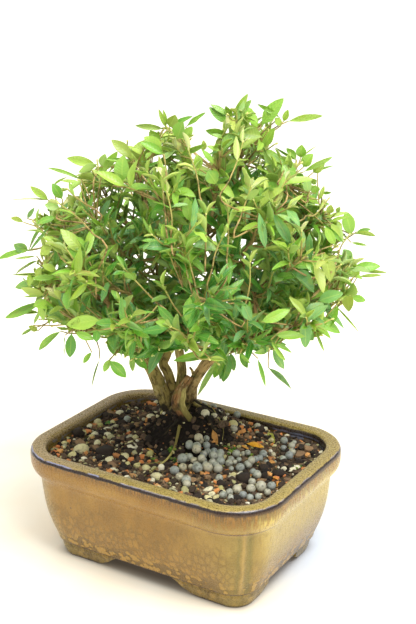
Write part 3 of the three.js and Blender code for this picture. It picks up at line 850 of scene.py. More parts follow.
cream = [(0, "ebe4cc"), (0.2, "dcd3aa"), (0.45, "c9bf83"), (0.65, "a5a062"), (0.85, "b3ad92"), (1, "8f8f70")]
brick = [(0, "cf7f48"), (0.3, "d98f4f"), (0.55, "dba25c"), (0.75, "a06038"), (1, "dfb676")]
brown = [(0, "221a13"), (0.4, "423325"), (0.7, "69523d"), (1, "9a7a56")]
black = [(0, "1b1511"), (0.5, "35291f"), (0.8, "564433"), (1, "7a654b")]
stone_finish = grain_finish("pale_pebbles", *cream)
brick_finish = grain_finish("crushed_brick", *brick, mottle="8c5232")
bark_finish = grain_finish("bark_bits", *brown, rough=0.9, mottle="1a1410")
clod_finish = grain_finish("peat_clods", *black, rough=0.95, mottle="0f0c09")
print("grain finishes ready")

# %% Sow the grains
GRAINS = {
    # masters, finish, count, smallest and largest, flatness, and how strictly it keeps off the mound
    "pale_pebbles": (pebbles, stone_finish, 64, 1.1, 2.2, 0.72, 1),
    "pale_grit": (pebbles, stone_finish, 460, 0.5, 1.2, 0.8, 0.96),
    "crushed_brick": (chips, brick_finish, 95, 0.9, 2.0, 0.6, 1),
    "brick_grit": (chips, brick_finish, 300, 0.4, 0.9, 0.7, 0.98),
    "bark_bits": (chips, bark_finish, 300, 1.0, 2.8, 0.5, 1),
    "bark_grit": (chips, bark_finish, 520, 0.5, 1.2, 0.6, 0.4),
    "peat_clods": (clods, clod_finish, 750, 0.7, 2.3, 0.75, 0),
}
PELLETS = [
    # x, y and radius of each pellet: the heap before the tree, the one to its right, and those by the rim
    (9.4, 6, 1.6), (12.3, 1.3, 2), (7.8, 2.6, 1.6), (20.5, 2.2, 2), (19.2, -2.9, 2.2), (16.4, -9.1, 2),
    (24.7, -4.7, 2.2), (22.5, -14.2, 2.4), (27.2, -11.5, 2.3), (27.6, 7, 2), (27.4, 1.6, 1.6),
    (29.1, -3.3, 1.8), (31.4, -1.2, 1.2), (29.4, 10.9, 1.4), (32, 11.6, 1.5), (31.3, 3.4, 1.4),
    (36.5, -4.4, 2.2), (32.7, -7.1, 1.3), (38.3, 0.8, 2.1), (39.5, 2.3, 2), (40.8, 4.6, 1.6), (38.5, 17, 2),
    (39.4, 11.4, 1.9), (43.6, 19.1, 1.3), (40.9, 36.7, 1.9), (44.3, 29.8, 1.5), (46.1, 38.9, 1.5),
    (47.1, 34, 1.8), (50.8, 27.3, 1.9), (51.7, 22.2, 2.1), (50.2, 17.9, 1.8), (44, -3.9, 1.6),
    (48.1, -7.1, 2.2), (49.5, -14.8, 1.8), (56.7, -18.4, 2.6), (60.3, -13.9, 2.1), (53.4, -22.9, 2.2),
    (52, -28.4, 1.8), (47.2, -26, 2.2), (45, -30, 1.8), (44.4, -35.2, 1.8), (48.5, -34.6, 1.6),
    (61.7, -20.6, 1.7), (59.9, -27, 1.6), (56.5, -29.4, 1.8), (44.3, 10, 1.4), (4.3, -3.2, 1.9),
    (5.9, -5.8, 1.9), (9.7, -4.3, 2.2), (11.6, -7.6, 2.3), (7.1, 1.6, 2.2), (16.5, -10.5, 1.9),
    (18.7, -18.2, 2.6), (7.1, -14.5, 2.5), (10.8, -20.1, 2), (9.3, -25.7, 2.3), (15.2, -30, 2),
    (20.3, -31.6, 2.3), (23, -35.4, 1.9), (13.9, -17, 1.4), (20.7, -8.1, 1.4),
]
BARE_REACH = 26  # how far the ground round the butt is almost bare


def in_heap(x, y):
    """How far the nearest pellet is, in its own radii."""
    return min(math.hypot(x - px, y - py) / radius for px, py, radius in PELLETS)


def random_place(draw, keep):
    """A place that is at least keep millimetres inside the wall."""
    while True:
        x = draw.uniform(-66, 66)
        y = draw.uniform(-48, 48)
        if inset_of(x, y) > SOIL_INSET + keep:
            return x, y


def random_turn(draw, tilt=math.pi):
    tilts = [draw.uniform(-tilt, tilt) for _ in range(2)]
    return Euler((*tilts, draw.uniform(0, 2 * math.pi))).to_matrix().to_4x4()


def sow(name, masters, finish, count, small, large, flat, keeps_off, seed):
    draw = random.Random(seed)
    bm = pile_bm("tone")
    placed = 0
    while placed < count:
        size = blend_between(small, large, draw.random() ** 2)
        x, y = random_place(draw, size * 0.6)
        bare = math.exp(-((math.hypot(x - BUTT.x, y - BUTT.y + 6) / BARE_REACH) ** 6))
        if draw.random() < bare * keeps_off or (size > 1.1 and in_heap(x, y) < 1.6):
            continue
        length, width = size * draw.uniform(0.9, 1.5), size * draw.uniform(0.75, 1.05)
        shape = Matrix.Diagonal((length, width, size * flat, 1))
        height = ground(x, y) + crumbs(x, y) * 0.5 + size * draw.uniform(0.05, 0.4)
        place = Matrix.Translation((x, y, height))
        add_copy(bm, draw.choice(masters), place @ random_turn(draw, 0.5) @ shape, tone=draw.random())
        placed += 1
    piece = settle(name, bm, [finish], smooth=False)
    return piece


for seed, (name, row) in enumerate(GRAINS.items()):
    grains = sow(name, *row, seed)
    print(name, len(grains.data.polygons), "faces")

# %% Lay the larger stones
# Each row is x, y, half the width and half the height that show from the front, and the tone.
PALE_STONES = [
    (-59.4, 21.3, 2.5, 2, 0.12), (-31.4, 13.3, 2.5, 1.8, 0.16), (-49.1, 14.3, 2, 1.8, 0.9),
    (-23.6, 13.2, 1.3, 1.2, 0.5), (-53.6, 1.5, 2.2, 1.4, 0.1), (-69, 5.7, 1.9, 1.8, 0.3),
    (-69.1, -2.4, 1.5, 1.6, 0.15), (-55.7, -7.5, 2, 1.5, 0.12), (-47.9, -5.8, 2, 1.7, 0.14),
    (-61.4, -11, 1.9, 1.5, 0.4), (-55.1, -11.4, 1.7, 1, 0.5), (-48.7, -29.7, 3.7, 3, 0.32),
    (-28.2, -32.1, 2.5, 1.9, 0.22), (-23.9, -23.2, 2.3, 2.3, 0.3), (-25.6, -12.5, 3.5, 1.1, 0.08),
    (-32.4, -6.2, 1.9, 1.8, 0.85), (-30.4, -9.1, 1.6, 1.1, 0.3), (-12.2, -16.9, 1.9, 1.8, 0.62),
    (-17.4, -30.7, 1.7, 1.5, 0.45), (-12.3, -28.6, 1.7, 1.5, 0.5), (-6.6, -28.2, 2.1, 1.9, 0.35),
    (0.1, -24.3, 1.6, 1.7, 0.05), (3.3, -33.8, 2.7, 2, 0.28), (-64.9, -26.2, 1.6, 1.1, 0.4),
    (-59.8, -29.7, 1.3, 1.2, 0.95), (-48.4, -36.8, 2.3, 2.2, 0.42), (-56.2, 34.3, 1.1, 0.9, 0.1),
    (-50.9, 46.7, 1.7, 1.3, 0.12), (-57.5, 26.8, 1.3, 1.1, 0.35), (-37.2, -33.2, 1, 1.5, 0.9),
    (-59.8, 2.1, 2, 1.5, 0.6), (-21.1, -18, 1.9, 1.6, 0.75), (-25.7, 11.5, 1.1, 1.1, 0.3),
    (11.6, 30.5, 2.6, 2, 0.42), (13, 38.5, 1.6, 1.1, 0.1), (24.1, 46.7, 1.7, 1.6, 0.12),
    (16.4, 23.5, 0.9, 1.2, 0.1), (33.8, 35.2, 1.5, 1.5, 0.4), (33.2, 30, 1.1, 1.1, 0.45),
    (42.6, 52.2, 1.3, 0.8, 0.1), (39.8, 22.8, 1.1, 1.4, 0.02), (59, 10.4, 2.4, 0.8, 0.1),
    (55.8, 7.9, 1.7, 0.9, 0.1), (60.6, 13.9, 1.6, 0.9, 0.05), (38.8, -9, 1.4, 0.8, 0.15),
    (36.2, -13.1, 2, 0.8, 0.85), (32.9, -31.2, 2.5, 0.9, 0.15), (37.6, -35.6, 1.9, 1.3, 0.2),
    (38.6, -28.1, 1.6, 1.2, 0.6), (13.5, 51.2, 2, 0.7, 0.4), (45.8, -19.8, 1.6, 0.9, 0.35),
    (0.6, 19, 2.2, 1.8, 0.1), (3.7, 23.3, 1.6, 1.4, 0.12), (5.5, 25.4, 1.3, 0.9, 0.3),
    (7.5, 28.3, 1.4, 1.2, 0.25),
]
BRICK_CHIPS = [
    (-60.3, -9.1, 2.2, 1.3, 0.1), (-67.4, 2.5, 2, 1, 0.05), (-62.6, -32.5, 1.2, 1.5, 0),
    (-62, -23.1, 1.5, 1.2, 0.3), (-58.5, -35.8, 1.7, 1.1, 0.5), (-72.5, 26.8, 1.3, 1.2, 0.35),
    (-66.5, 14.6, 1.5, 1.1, 0.2), (-50.8, 27.1, 2, 1, 0.2), (-50.3, 41.2, 2.7, 2.3, 0.15),
    (-56.6, 46.4, 1.6, 1.1, 0), (-18.8, -25.2, 1.6, 1.1, 0.1), (-12.9, -24.1, 1.5, 1.1, 0.15),
    (-9.1, -22.2, 1.1, 0.9, 0.2), (-12.6, -37.5, 0.8, 1.3, 0), (-28.1, -25.2, 2.3, 1.1, 0.7),
    (-29.3, -38.2, 1.2, 1.1, 0.45), (-40.8, -28.9, 1.1, 1, 0.4), (-55.3, -20.1, 0.9, 0.8, 0.1),
    (-56, 37, 1.3, 0.9, 0.5), (-56, 12.7, 1.9, 1.3, 0.7), (-28.6, 4.3, 1.1, 1.5, 0.6),
    (10.9, 27, 1, 1.3, 0.2), (15.8, 33.1, 1.2, 1.6, 0.25), (17.2, 35.7, 1, 0.9, 0.1),
    (19.4, 36.2, 1.3, 1.1, 0.15), (22, 39.6, 1.2, 1.1, 0.1), (37.6, 51.6, 2.8, 1.8, 0.2),
    (32.9, 49.2, 1.2, 1, 0), (23.3, 29, 1.1, 0.9, 0.3), (23.5, 24.8, 1, 0.9, 0.1),
    (18.1, 25.6, 1, 1.2, 0.55), (30.1, 28, 1.5, 1.2, 0.1), (31.5, -8.8, 0.9, 1, 0),
    (25, -18.9, 1.6, 1.1, 0.25), (34.7, -23.2, 1.6, 1.7, 0.3), (41.8, -24, 1.1, 0.9, 0),
    (38.3, -31.3, 1.6, 1.4, 0.35), (52.1, -1.4, 1.7, 1.4, 0.5), (56.9, -4.4, 2.5, 1.1, 0.1),
    (61.9, -7.9, 1.7, 1.3, 0.3), (43.7, 16.9, 2, 0.7, 0.7), (26.7, -27.3, 1.2, 0.9, 0.3),
    (17.3, 53.4, 1.6, 0.7, 0.3),
]
DARK_CLODS = [
    (-36.1, -24.1, 5.1, 3, 0.35), (-34, -32.8, 2.2, 2.2, 0.2), (-69.4, -14.6, 3.4, 2.5, 0.4),
    (-73.3, 17.2, 2.8, 2, 0.45), (26.8, 54.7, 3.6, 2, 0.55), (44, -13.4, 3.6, 3, 0.4),
    (45.3, 4.7, 3, 1.6, 0.5), (26, 36.8, 2.6, 1.6, 0.4), (36.5, -23.9, 2.3, 2, 0.3),
    (56.8, 2.3, 3.6, 1.6, 0.3), (51.3, -4.8, 2, 2, 0.3), (50.8, 16.5, 2.3, 1.2, 0.4),
]


def lay_stones(name, masters, rows, finish):
    draw = random.Random(len(rows))
    bm = pile_bm("tone")
    for number, (x, y, wide, tall, tone) in enumerate(rows):
        while inset_of(x, y) < SOIL_INSET + wide:
            x, y = 0.98 * x, 0.98 * y
        shape = Matrix.Diagonal((1.1 * wide, wide, 1.1 * tall, 1))
        turn = TURN + draw.uniform(-0.4, 0.4)
        tilt = Matrix.Rotation(draw.uniform(-0.25, 0.25), 4, "Y")
        place = Matrix.Translation((x, y, ground(x, y) + 0.4 * tall)) @ Matrix.Rotation(turn, 4, "Z") @ tilt
        add_copy(bm, masters[number % len(masters)], place @ shape, tone=tone)
    piece = settle(name, bm, [finish])


lay_stones("named_pebbles", pebbles, PALE_STONES, stone_finish)
lay_stones("named_brick", chips, BRICK_CHIPS, brick_finish)
lay_stones("dark_rocks", clods, DARK_CLODS, clod_finish)
print("larger stones:", len(PALE_STONES) + len(BRICK_CHIPS) + len(DARK_CLODS))

# %% [markdown]
# ## Moss
# Where the soil stays damp, moss grows in low cushions. A cushion is one or two dozen small green tufts,
# crowded at its middle and thin at its edge, each a copy of a pebble's shape with a soft, rough finish.

# %% Grow the moss
moss_finish = grain_finish("moss", (0, "2c4516"), (0.5, "4c7020"), (1, "86963a"), rough=1.0, mottle="35401a")
# The x, y and radius of each cushion.
MOSS = [
    (22, 9.5, 3.4), (32, 14, 1.8), (3.3, -15.9, 4.2), (-7.7, -19, 3.0), (61, 15, 3.6), (-3, -8, 2.2),
    (45, 11, 1.6),
]
TUFTS_PER_MM = 7
draw = random.Random(17)
moss_bm = pile_bm("tone")
for mx, my, radius in MOSS:
    for _ in range(round(TUFTS_PER_MM * radius)):
        angle, away = draw.uniform(0, 2 * math.pi), radius * draw.random() ** 0.7
        x, y = mx + away * math.cos(angle), my + away * math.sin(angle)
        size = draw.uniform(0.5, 1.0)
        lie = Matrix.Translation((x, y, ground(x, y) + crumbs(x, y) * 0.5 + 0.1))
        shape = Matrix.Diagonal((size, size, size * 0.8, 1))
        add_copy(moss_bm, draw.choice(pebbles), lie @ random_turn(draw, 0.4) @ shape, tone=draw.random())
moss = settle("moss", moss_bm, [moss_finish])
print("moss faces:", len(moss.data.polygons))

# %% [markdown]
# ## Fertiliser pellets
# Coated fertiliser comes as round grey-blue beads of three to six millimetres. They were poured in front of
# the tree and rolled down the mound, where they lie side by side. The table above gives their places. Each is
# lowered until it rests on the ground, or halfway into the crook between the beads already there.

# %% Pour the pellets
COAT = 1.13  # how much larger a bead is with its coat on
PERCH = 0.75  # the height of a lying bead's middle over the ground, in its radii
bead_bm = bmesh.new()
bmesh.ops.create_uvsphere(bead_bm, u_segments=12, v_segments=8, radius=1)
bead = mesh_of("bead", bead_bm)
draw = random.Random(7)
beads = []


def resting_height(x, y, radius):
    height = ground(x, y) + PERCH * radius
    for ox, oy, oz, other in beads:
        flat_gap = math.hypot(x - ox, y - oy)
        if flat_gap < radius + other:
            height = max(height, oz + math.sqrt((radius + other) ** 2 - flat_gap**2) * 0.97)
    return height


for x, y, radius in PELLETS:
    radius *= COAT
    beads.append((x, y, 0.5 * (resting_height(x, y, radius) + ground(x, y) + PERCH * radius), radius))
# Beads that lie under the heap, and strays.
UNDER = [(14.5, -1), (17, 1.5), (14, -4.5), (22, -1), (21.5, -7.5), (15.5, -14), (20, -12), (24.5, -9)]
UNDER += [(12.5, -11.5), (9, -10.5)]
STRAYS = [(-15, 43), (-9, 44), (-48, 13), (15, 26), (33, -20), (20, 44), (5, 47), (-30, 44)]
for x, y in UNDER + STRAYS:
    beads.append((x, y, ground(x, y) + 1.5, 2.1))
print("pellets:", len(beads))

# %% Coat the pellets
coat = Finish("pellet_coat", Roughness=0.45)
coat.skin = coat.ramp(coat.attribute("tone"), (0, "8b908c"), (0.4, "9ea295"), (0.75, "aeac99"), (1, "beb493"))
coat.patches(1.7, 4, 0.52, 0.66, "5c5d50", 0.7)
coat.patches(3.5, 2, 0.6, 0.72, "d8cfae", 0.35)
coat.done(Normal=coat.bump(coat.noise(0.8, 3), 0.12))
heap_bm = pile_bm("tone")
for x, y, z, radius in beads:
    squash = Matrix.Diagonal((radius * draw.uniform(0.94, 1.06), radius, radius * draw.uniform(0.92, 1.0), 1))
    add_copy(heap_bm, bead, Matrix.Translation((x, y, z)) @ random_turn(draw) @ squash, tone=draw.random())
pellets = settle("pellet_heap", heap_bm, [coat.material])
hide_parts("pellets")
print("pellet faces:", len(pellets.data.polygons))

# %% [markdown]
# ## How the tree is laid out
# The tree has a frame of its own round its butt: "across" to the right of its front, "away" to the back, and
# height. Fifty-two leafy shoots are spread over an egg-shaped crown by equal steps of height and turns of the
# golden angle, and each is reached by a branch from the nearest wood. The frame's solids follow the same rule
# with the same seeded draws, so each finer shoot below grows where its solid stands.

# %% The tree's frame and its seeded rule
CROWN = {
    "shoots": 52, "across": 2, "away": -10, "height": 151, "above": 84, "below": 46, "half_width": 87,
    "half_depth": 80, "lean": 16, "lowest": 0.74, "front_lift": 0.75, "rise": 0.35, "hub": 116,
}
SHOOT_LENGTH = 29
GOLDEN_ANGLE = math.pi * (3 - math.sqrt(5))
UP = Vector((0, 0, 1))


def tree_point(across, away, height):
    x = across * math.cos(TURN) - away * math.sin(TURN)
    y = across * math.sin(TURN) + away * math.cos(TURN)
    return Vector((BUTT.x + x, BUTT.y + y, height))


def seeded(seed):
    """mulberry32: a small seeded generator of numbers from 0 to 1, in 32-bit steps."""
    state = seed
    full = 0xFFFFFFFF

    def draw():
        nonlocal state
        state = (state + 0x6D2B79F5) & full
        t = (state ^ (state >> 15)) * (state | 1) & full
        t ^= (t + ((t ^ (t >> 7)) * (t | 61) & full)) & full
        return (t ^ (t >> 14)) / 4294967296

    return draw


def shoot_seats(draw):
    """Where each shoot starts and ends, and which way it points."""

    def vary(most):
        return most * (2 * draw() - 1)

    middle = tree_point(CROWN["across"], CROWN["away"], CROWN["height"])
    seats = []
    for k in range(CROWN["shoots"]):
        level = 1 - (1 + CROWN["lowest"]) * (k + 0.5) / CROWN["shoots"]
        bearing = k * GOLDEN_ANGLE + math.radians(vary(7))
        out = math.sqrt(1 - level * level) * (1 + vary(0.05))
        front = max(0, -math.sin(bearing)) * out
        lift = 1 - CROWN["front_lift"] * front if level < 0 else 1
        height = (CROWN["above"] if level > 0 else CROWN["below"]) * level * lift
        across = CROWN["across"] + CROWN["lean"] * level**3 + CROWN["half_width"] * out * math.cos(bearing)
        away = CROWN["away"] + CROWN["half_depth"] * out * math.sin(bearing)
        tip = tree_point(across, away, CROWN["height"] + height)
        direction = ((tip - middle).normalized() + CROWN["rise"] * UP).normalized()
        length = SHOOT_LENGTH * (1 + vary(0.1))
        seats.append({"base": tip - direction * length, "tip": tip, "direction": direction, "length": length})
    return seats


# The slope of the line of sight to the tree, from a little above its front: what stands back looks higher.
SIGHT = 0.338
# The clipped crown's outline along that line: across, and the height that it seems to have.
CLIPPED = [
    (20, 234), (28, 240), (35, 237), (44, 239), (41, 222), (48, 215), (57, 206), (64, 201), (65, 196),
    (70, 189), (80, 180), (82, 172), (78, 167), (85, 160), (92, 156), (84, 146), (78, 138), (72, 132),
    (70, 125), (66, 119), (53, 119), (46, 112), (32, 110), (24, 106), (14, 103), (8, 110), (-3, 112),
    (-8, 116), (-14, 112), (-22, 106), (-36, 109), (-41, 118), (-46, 121), (-58, 121), (-70, 122),
    (-79, 127), (-78, 133), (-84, 141), (-84, 147), (-77, 153), (-75, 170), (-80, 177), (-85, 184),
    (-75, 187), (-70, 191), (-58, 196), (-55, 209), (-38, 213), (-32, 221), (-24, 222), (-14, 234),
    (-3, 232), (1, 212), (12, 210), (18, 228),
]


def in_tree(point):
    """Across and away of a point in the tree's frame. Its height stays what it is."""
    x, y = point.x - BUTT.x, point.y - BUTT.y
    across = x * math.cos(TURN) + y * math.sin(TURN)
    return across, y * math.cos(TURN) - x * math.sin(TURN)


def in_outline(point, spread=1.0):
    """Whether a point is inside the outline, seen from the front. A spread over 1 asks for a margin."""
    across, away = in_tree(point)
    height = 165 + (point.z + SIGHT * away - 165) * spread
    across *= spread
    inside = False
    for (x1, z1), (x2, z2) in zip(CLIPPED, CLIPPED[1:] + CLIPPED[:1]):
        if (z1 > height) != (z2 > height) and across < x1 + (height - z1) / (z2 - z1) * (x2 - x1):
            inside = not inside
    return inside


def depth_in_crown(point):
    """0 at the crown's skin, 1 at its middle. Leaves deep in the crown get a darker tone by it: painted
    shade.
    """
    across, away = in_tree(point)
    rise = point.z - CROWN["height"]
    shares = ((across - CROWN["across"]) / 95, (away - CROWN["away"]) / 90, rise / (90 if rise > 0 else 50))
    return clamp(1 - Vector(shares).length, 0, 1)


seats = shoot_seats(seeded(51))
low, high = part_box("spray_01")
low, high = [to_frame.inverted() @ Vector(corner) for corner in (low, high)]
inside = [all(low[k] - 0.5 < seats[0][end][k] < high[k] + 0.5 for k in range(3)) for end in ("base", "tip")]
print("the first shoot starts and ends inside its solid's box:", inside)

# %% Stems, roots and the branches between
STEMS = [
    # half thickness at the foot, at the top and what its middle adds, tones of its bark at both ends,
    # then points of across, away and height
    (4.7, 2.5, 0, (0.15, 0.1),
     [(-10.5, 4, 62), (-12.7, 4, 75), (-16.4, 4, 84.6), (-20.2, 3, 95.7), (-26.5, 1, 108), (-38, 0, 128)]),
    (3.2, 1.7, 0, (0.3, 0.2),
     [(-5, 6, 66), (-8.6, 7, 80.5), (-12.6, 9, 93), (-14.8, 10, 98), (-12, 12, 108), (-16, 18, 138)]),
    (3.1, 1.3, 0, (0.25, 0.2),
     [(-3, 3, 64), (-4.8, 5, 86), (-4.3, 5, 97), (-5.9, 5, 112), (-2, 4, 134), (4, 1, 160), (12, 0, 186)]),
    (3.7, 2.4, 0, (0.4, 0.6),
     [(0, 4, 62), (0.2, 4, 76), (1.0, 3, 85.5), (3.4, 2, 91.5), (10, 0, 102.5), (20, -2, 114),
      (36, -3, 130)]),
    # the old twisted root: its brown body, and a pale strip that winds down before it, a painted highlight
    # where light catches the root
    (2.3, 1.8, 1.0, (0.72, 0.66),
     [(-1.9, -10, 69), (-2.4, -10, 73), (-5.1, -10, 77), (-7, -9, 80.5), (-6.8, -8, 84.2), (-4.2, -5, 88.8),
      (0.1, -2, 94.6)]),
    (1.9, 0.9, 0.2, (1.0, 0.82),
     [(1.2, -9, 70), (0.1, -11, 73.4), (-1.4, -11.5, 76.1), (-3.1, -11.5, 79.5), (-4, -10.5, 82.8),
      (-3.2, -9, 85.9), (-3.2, -7, 88.4), (-1.9, -3, 91.7)]),
    (1.0, 0.6, 0, (0.2, 0.4),
     [(2.2, 0, 94.5), (1.4, -4, 99), (0.3, -6, 101.4)]),
]
# The bearing of each old root, its length, how deep it dives and its half thickness.
ROOTS = [(-50, 34, 1, 1.2), (-8, 36, 1, 1.0), (-125, 30, 2, 1.2), (60, 22, 7, 1.8), (185, 24, 7, 1.8)]
BARE_HEIGHT = 104  # no branch starts below this
DETOUR = 0.22  # what a millimetre along the wood counts, when a shoot looks for the nearest
BEND = 0.45  # how far before a shoot its twig takes the shoot's own direction


def way_along(path, begin):
    """How far each point of a path is along it."""
    ways = [begin]
    for a, b in zip(path, path[1:]):
        ways.append(ways[-1] + (b - a).length)
    return ways


def lay_branches(seats):
    """Grows a branch from the nearest wood to each seat, from the inside outwards."""
    wood = []
    for *_, points in STEMS:
        path = [tree_point(*p) for p in points]
        wood.append({"path": path, "way": way_along(path, 0), "parent": None, "carried": [0] * len(path)})
    hub = tree_point(0, 0, CROWN["hub"])
    for seat in sorted(seats, key=lambda s: (s["base"] - hub).length):
        best = None
        for branch in wood:
            for k, point in enumerate(branch["path"]):
                if point.z < BARE_HEIGHT or (branch["parent"] and k == len(branch["path"]) - 1):
                    continue
                cost = (point - seat["base"]).length + DETOUR * branch["way"][k]
                if best is None or cost < best[0]:
                    best = (cost, branch, k)
        _, parent, k = best
        begin = parent["path"][k]
        bend = seat["base"] - seat["direction"] * BEND * (begin - seat["base"]).length
        path = [begin, bend, seat["base"]]
        way = way_along(path, parent["way"][k])
        seat["branch"] = {"path": path, "way": way, "parent": (parent, k), "carried": [1] * 3}
        wood.append(seat["branch"])
        while parent:
            for j in range(k + 1):
                parent["carried"][j] += 1
            parent, k = parent["parent"] or (None, 0)
    return wood[len(STEMS) :]


branches = lay_branches(seats)
print("branches:", len(branches), "most shoots on one:", max(b["carried"][0] for b in branches))

# %% [markdown]
# ## Wood
# A limb is a circle of edges that is extruded from point to point of a smooth path, and turned into each new
# direction. Its vertices are moved in and out by a noise that is stretched along the limb, which gives the
# ridged, knotty section of old bark. The same stretched coordinates go with the mesh as an attribute, so that
# the finish's fissures run along every limb, whatever way it points.

# %% Grow a limb
def smooth_path(points, spacing):
    """A Catmull-Rom curve through the points, with a point about every spacing millimetres."""
    ends = [points[0] * 2 - points[1], *points, points[-1] * 2 - points[-2]]
    path = []
    for k in range(1, len(ends) - 2):
        a, b, c, d = ends[k - 1 : k + 3]
        steps = max(1, round((c - b).length / spacing))
        for j in range(steps):
            t = j / steps
            curve = 2 * b + (c - a) * t + (2 * a - 5 * b + 4 * c - d) * t * t + (3 * b - a - 3 * c + d) * t**3
            path.append(curve / 2)
    return path + [points[-1]]


def limb(bm, path, radii, sides, tone, ages=(1, 1), knots=0.0, slot=0):
    """A limb along a path with a radius at each point. Ages run from 0, a green shoot, to 1, old bark.

    The tone of its bark and its age are given for the foot and the top.
    """
    grain, tones = bm.verts.layers.float_vector["grain"], bm.verts.layers.float["tone"]
    age = bm.verts.layers.float["age"]
    last = len(path) - 1
    ways = [(path[min(k + 1, last)] - path[max(k - 1, 0)]).normalized() for k in range(last + 1)]
    turn = ways[0].to_track_quat("Z", "Y").to_matrix()
    seat = Matrix.Translation(path[0]) @ turn.to_4x4()
    ring = bmesh.ops.create_circle(bm, segments=sides, radius=1, matrix=seat)["verts"]
    edges = list(dict.fromkeys(e for v in ring for e in v.link_edges))
    first = edges
    flat = {v: turn.transposed() @ (v.co - path[0]) for v in ring}
    run = 0
    phase = 7.3 * path[0].x
    for k in range(last + 1):
        if k:
            order = {v.co.copy().freeze(): flat[v] for v in ring}
            grown = bmesh.ops.extrude_edge_only(bm, edges=edges)["geom"]
            for face in grown:
                if isinstance(face, bmesh.types.BMFace):
                    face.material_index = slot
            ring = [g for g in grown if isinstance(g, bmesh.types.BMVert)]
            edges = [g for g in grown if isinstance(g, bmesh.types.BMEdge)]
            flat = {v: order[v.co.copy().freeze()] for v in ring}
            turn = ways[k - 1].rotation_difference(ways[k]).to_matrix() @ turn
            run += (path[k] - path[k - 1]).length
        for vert in ring:
            local = flat[vert] * radii[k]
            if knots:
                there = Vector((local.x * 0.55 + phase, local.y * 0.55, run * 0.075))
                local = local * (1 + knots * noise.fractal(there, 0.8, 2.2, 3))
            vert.co = path[k] + turn @ local
            vert[grain] = Vector((local.x + phase, local.y, run * 0.22)) * 0.001
            vert[tones] = blend_between(tone[0], tone[1], k / last)
            vert[age] = blend_between(ages[0], ages[1], k / last)
    for loop in (first, edges):
        bmesh.ops.edgeloop_fill(bm, edges=loop, mat_nr=slot)


def tapered(path, foot, top, power=1.0):
    last = len(path) - 1
    return [blend_between(foot, top, (k / last) ** power) for k in range(last + 1)]


print("points on the first stem:", len(smooth_path([tree_point(*p) for p in STEMS[0][4]], 1.2)))

# %% Stems, old roots and the swelling
trunk_bm = pile_bm("tone", "age", vectors=["grain"])
for foot, top, belly, tone, points in STEMS:
    path = smooth_path([tree_point(*p) for p in points], 1.1)
    radii = tapered(path, foot, top)
    radii = [radius + belly * math.sin(math.pi * k / len(path)) for k, radius in enumerate(radii)]
    limb(trunk_bm, path, radii, 20, tone, knots=0.16)

for number, (bearing, run, depth, radius) in enumerate(ROOTS):
    angle = math.radians(bearing)
    points = []
    for k in range(7):
        t = k / 6
        wander = 2.2 * math.sin(t * 5 + bearing)
        reach = 2 + run * t
        x = reach * math.cos(angle) - wander * math.sin(angle)
        y = reach * math.sin(angle) + wander * math.cos(angle)
        point = tree_point(x, y, 0)
        point.z = mound(point.x, point.y) + 1.4 * (1 - t) - depth * t**1.2
        points.append(point)
    path = smooth_path(points, 1.4)
    limb(trunk_bm, path, tapered(path, radius, radius * 0.4), 10, (0.1, 0.1), knots=0.12)

SURFACE_ROOTS = [
    # half thickness and points of x, y: a pale one that runs forward over the soil, and two thin ones
    (0.9, [(-6.5, 4), (-4.4, -1.5), (-2.4, -8), (-1.2, -16), (-1.9, -24), (-2.0, -33.4), (-3.0, -38)]),
    (0.5, [(-1.2, -15), (-4.0, -22), (-8.5, -26), (-10, -31)]),
    (0.4, [(-12.5, 32.7), (-3.0, 31.4), (4.0, 26.0), (11.6, 20.0), (16.0, 12.0)]),
]
for thick, points in SURFACE_ROOTS:
    points = [Vector((x, y, ground(x, y) + 0.75)) for x, y in points]
    path = smooth_path(points, 1.5)
    limb(trunk_bm, path, tapered(path, thick, 0.3 * thick), 8, (1, 0.9), ages=(1, 0.6), knots=0.2)

lump = Matrix.Translation(tree_point(-4, 1, 68)) @ Matrix.Rotation(TURN, 4, "Z")
lump = lump @ Matrix.Diagonal((11.5, 9.5, 10.5, 1))
swelling = bmesh.ops.create_icosphere(trunk_bm, subdivisions=4, radius=1, matrix=lump)["verts"]
for vert in swelling:
    vert.co += 1.6 * noise.fractal(vert.co * 0.16, 0.8, 2.2, 4) * (vert.co - lump.translation).normalized()
    vert[trunk_bm.verts.layers.float["age"]] = 1
print("wood faces so far:", len(trunk_bm.faces))

# %% Branches
for branch in branches:
    draw = random.Random(round(branch["path"][0].x * 50 + branch["path"][2].y))
    path = smooth_path(branch["path"], 2.2)
    for k in range(1, len(path) - 1):
        path[k] += jitter(draw, 0.35)
    carried = branch["carried"]
    foot, top = [0.8 * carried[k] ** 0.42 for k in (0, 2)]
    radii = tapered(path, foot, max(top, 0.75), 0.8)
    tone = draw.uniform(0.25, 0.6)
    limb(trunk_bm, path, radii, 10 if carried[0] > 2 else 8, (tone, tone), knots=0.14)
print("wood faces:", len(trunk_bm.faces))

# %% Bark finish
bark = Finish("bark", Roughness=0.85)
grain = bark.attribute("grain", "Vector")
ridges = bark.noise(1.3, 4, grain, roughness=0.65)
flakes = bark.noise(3.2, 3, grain)
height = bark.times(bark.parts(bark.place)["Z"], 1000)
tones = bark.attribute("tone")
barks = [(0, "998a4e"), (0.3, "a39052"), (0.55, "bd9f6a"), (0.7, "94683e"), (0.82, "bcab66"), (1, "d4c684")]
bark.skin = bark.ramp(tones, *barks)
bark.cover(bark.band(ridges, 0.5, 0.62, 0.8), "42321c")
bark.cover(bark.band(flakes, 0.54, 0.68, 0.5), "c6b47e")
bark.patches(1.6, 3, 0.62, 0.7, "b9bd92", 0.55)
bark.patches(6, 3, 0.5, 0.66, "5f5f2c", 0.6)
bark.patches(3.4, 3, 0.55, 0.68, "4a3a20", 0.6)
bark.cover(bark.band(bark.plus(height, bark.wander(4, 5)), 85, 74, 0.94), "1a1410")
# Pale bark for the surface roots, and for the old root's pale strip, which is a painted highlight.
pale_root_and_highlight = bark.times(bark.band(tones, 0.78, 0.95), 0.9)
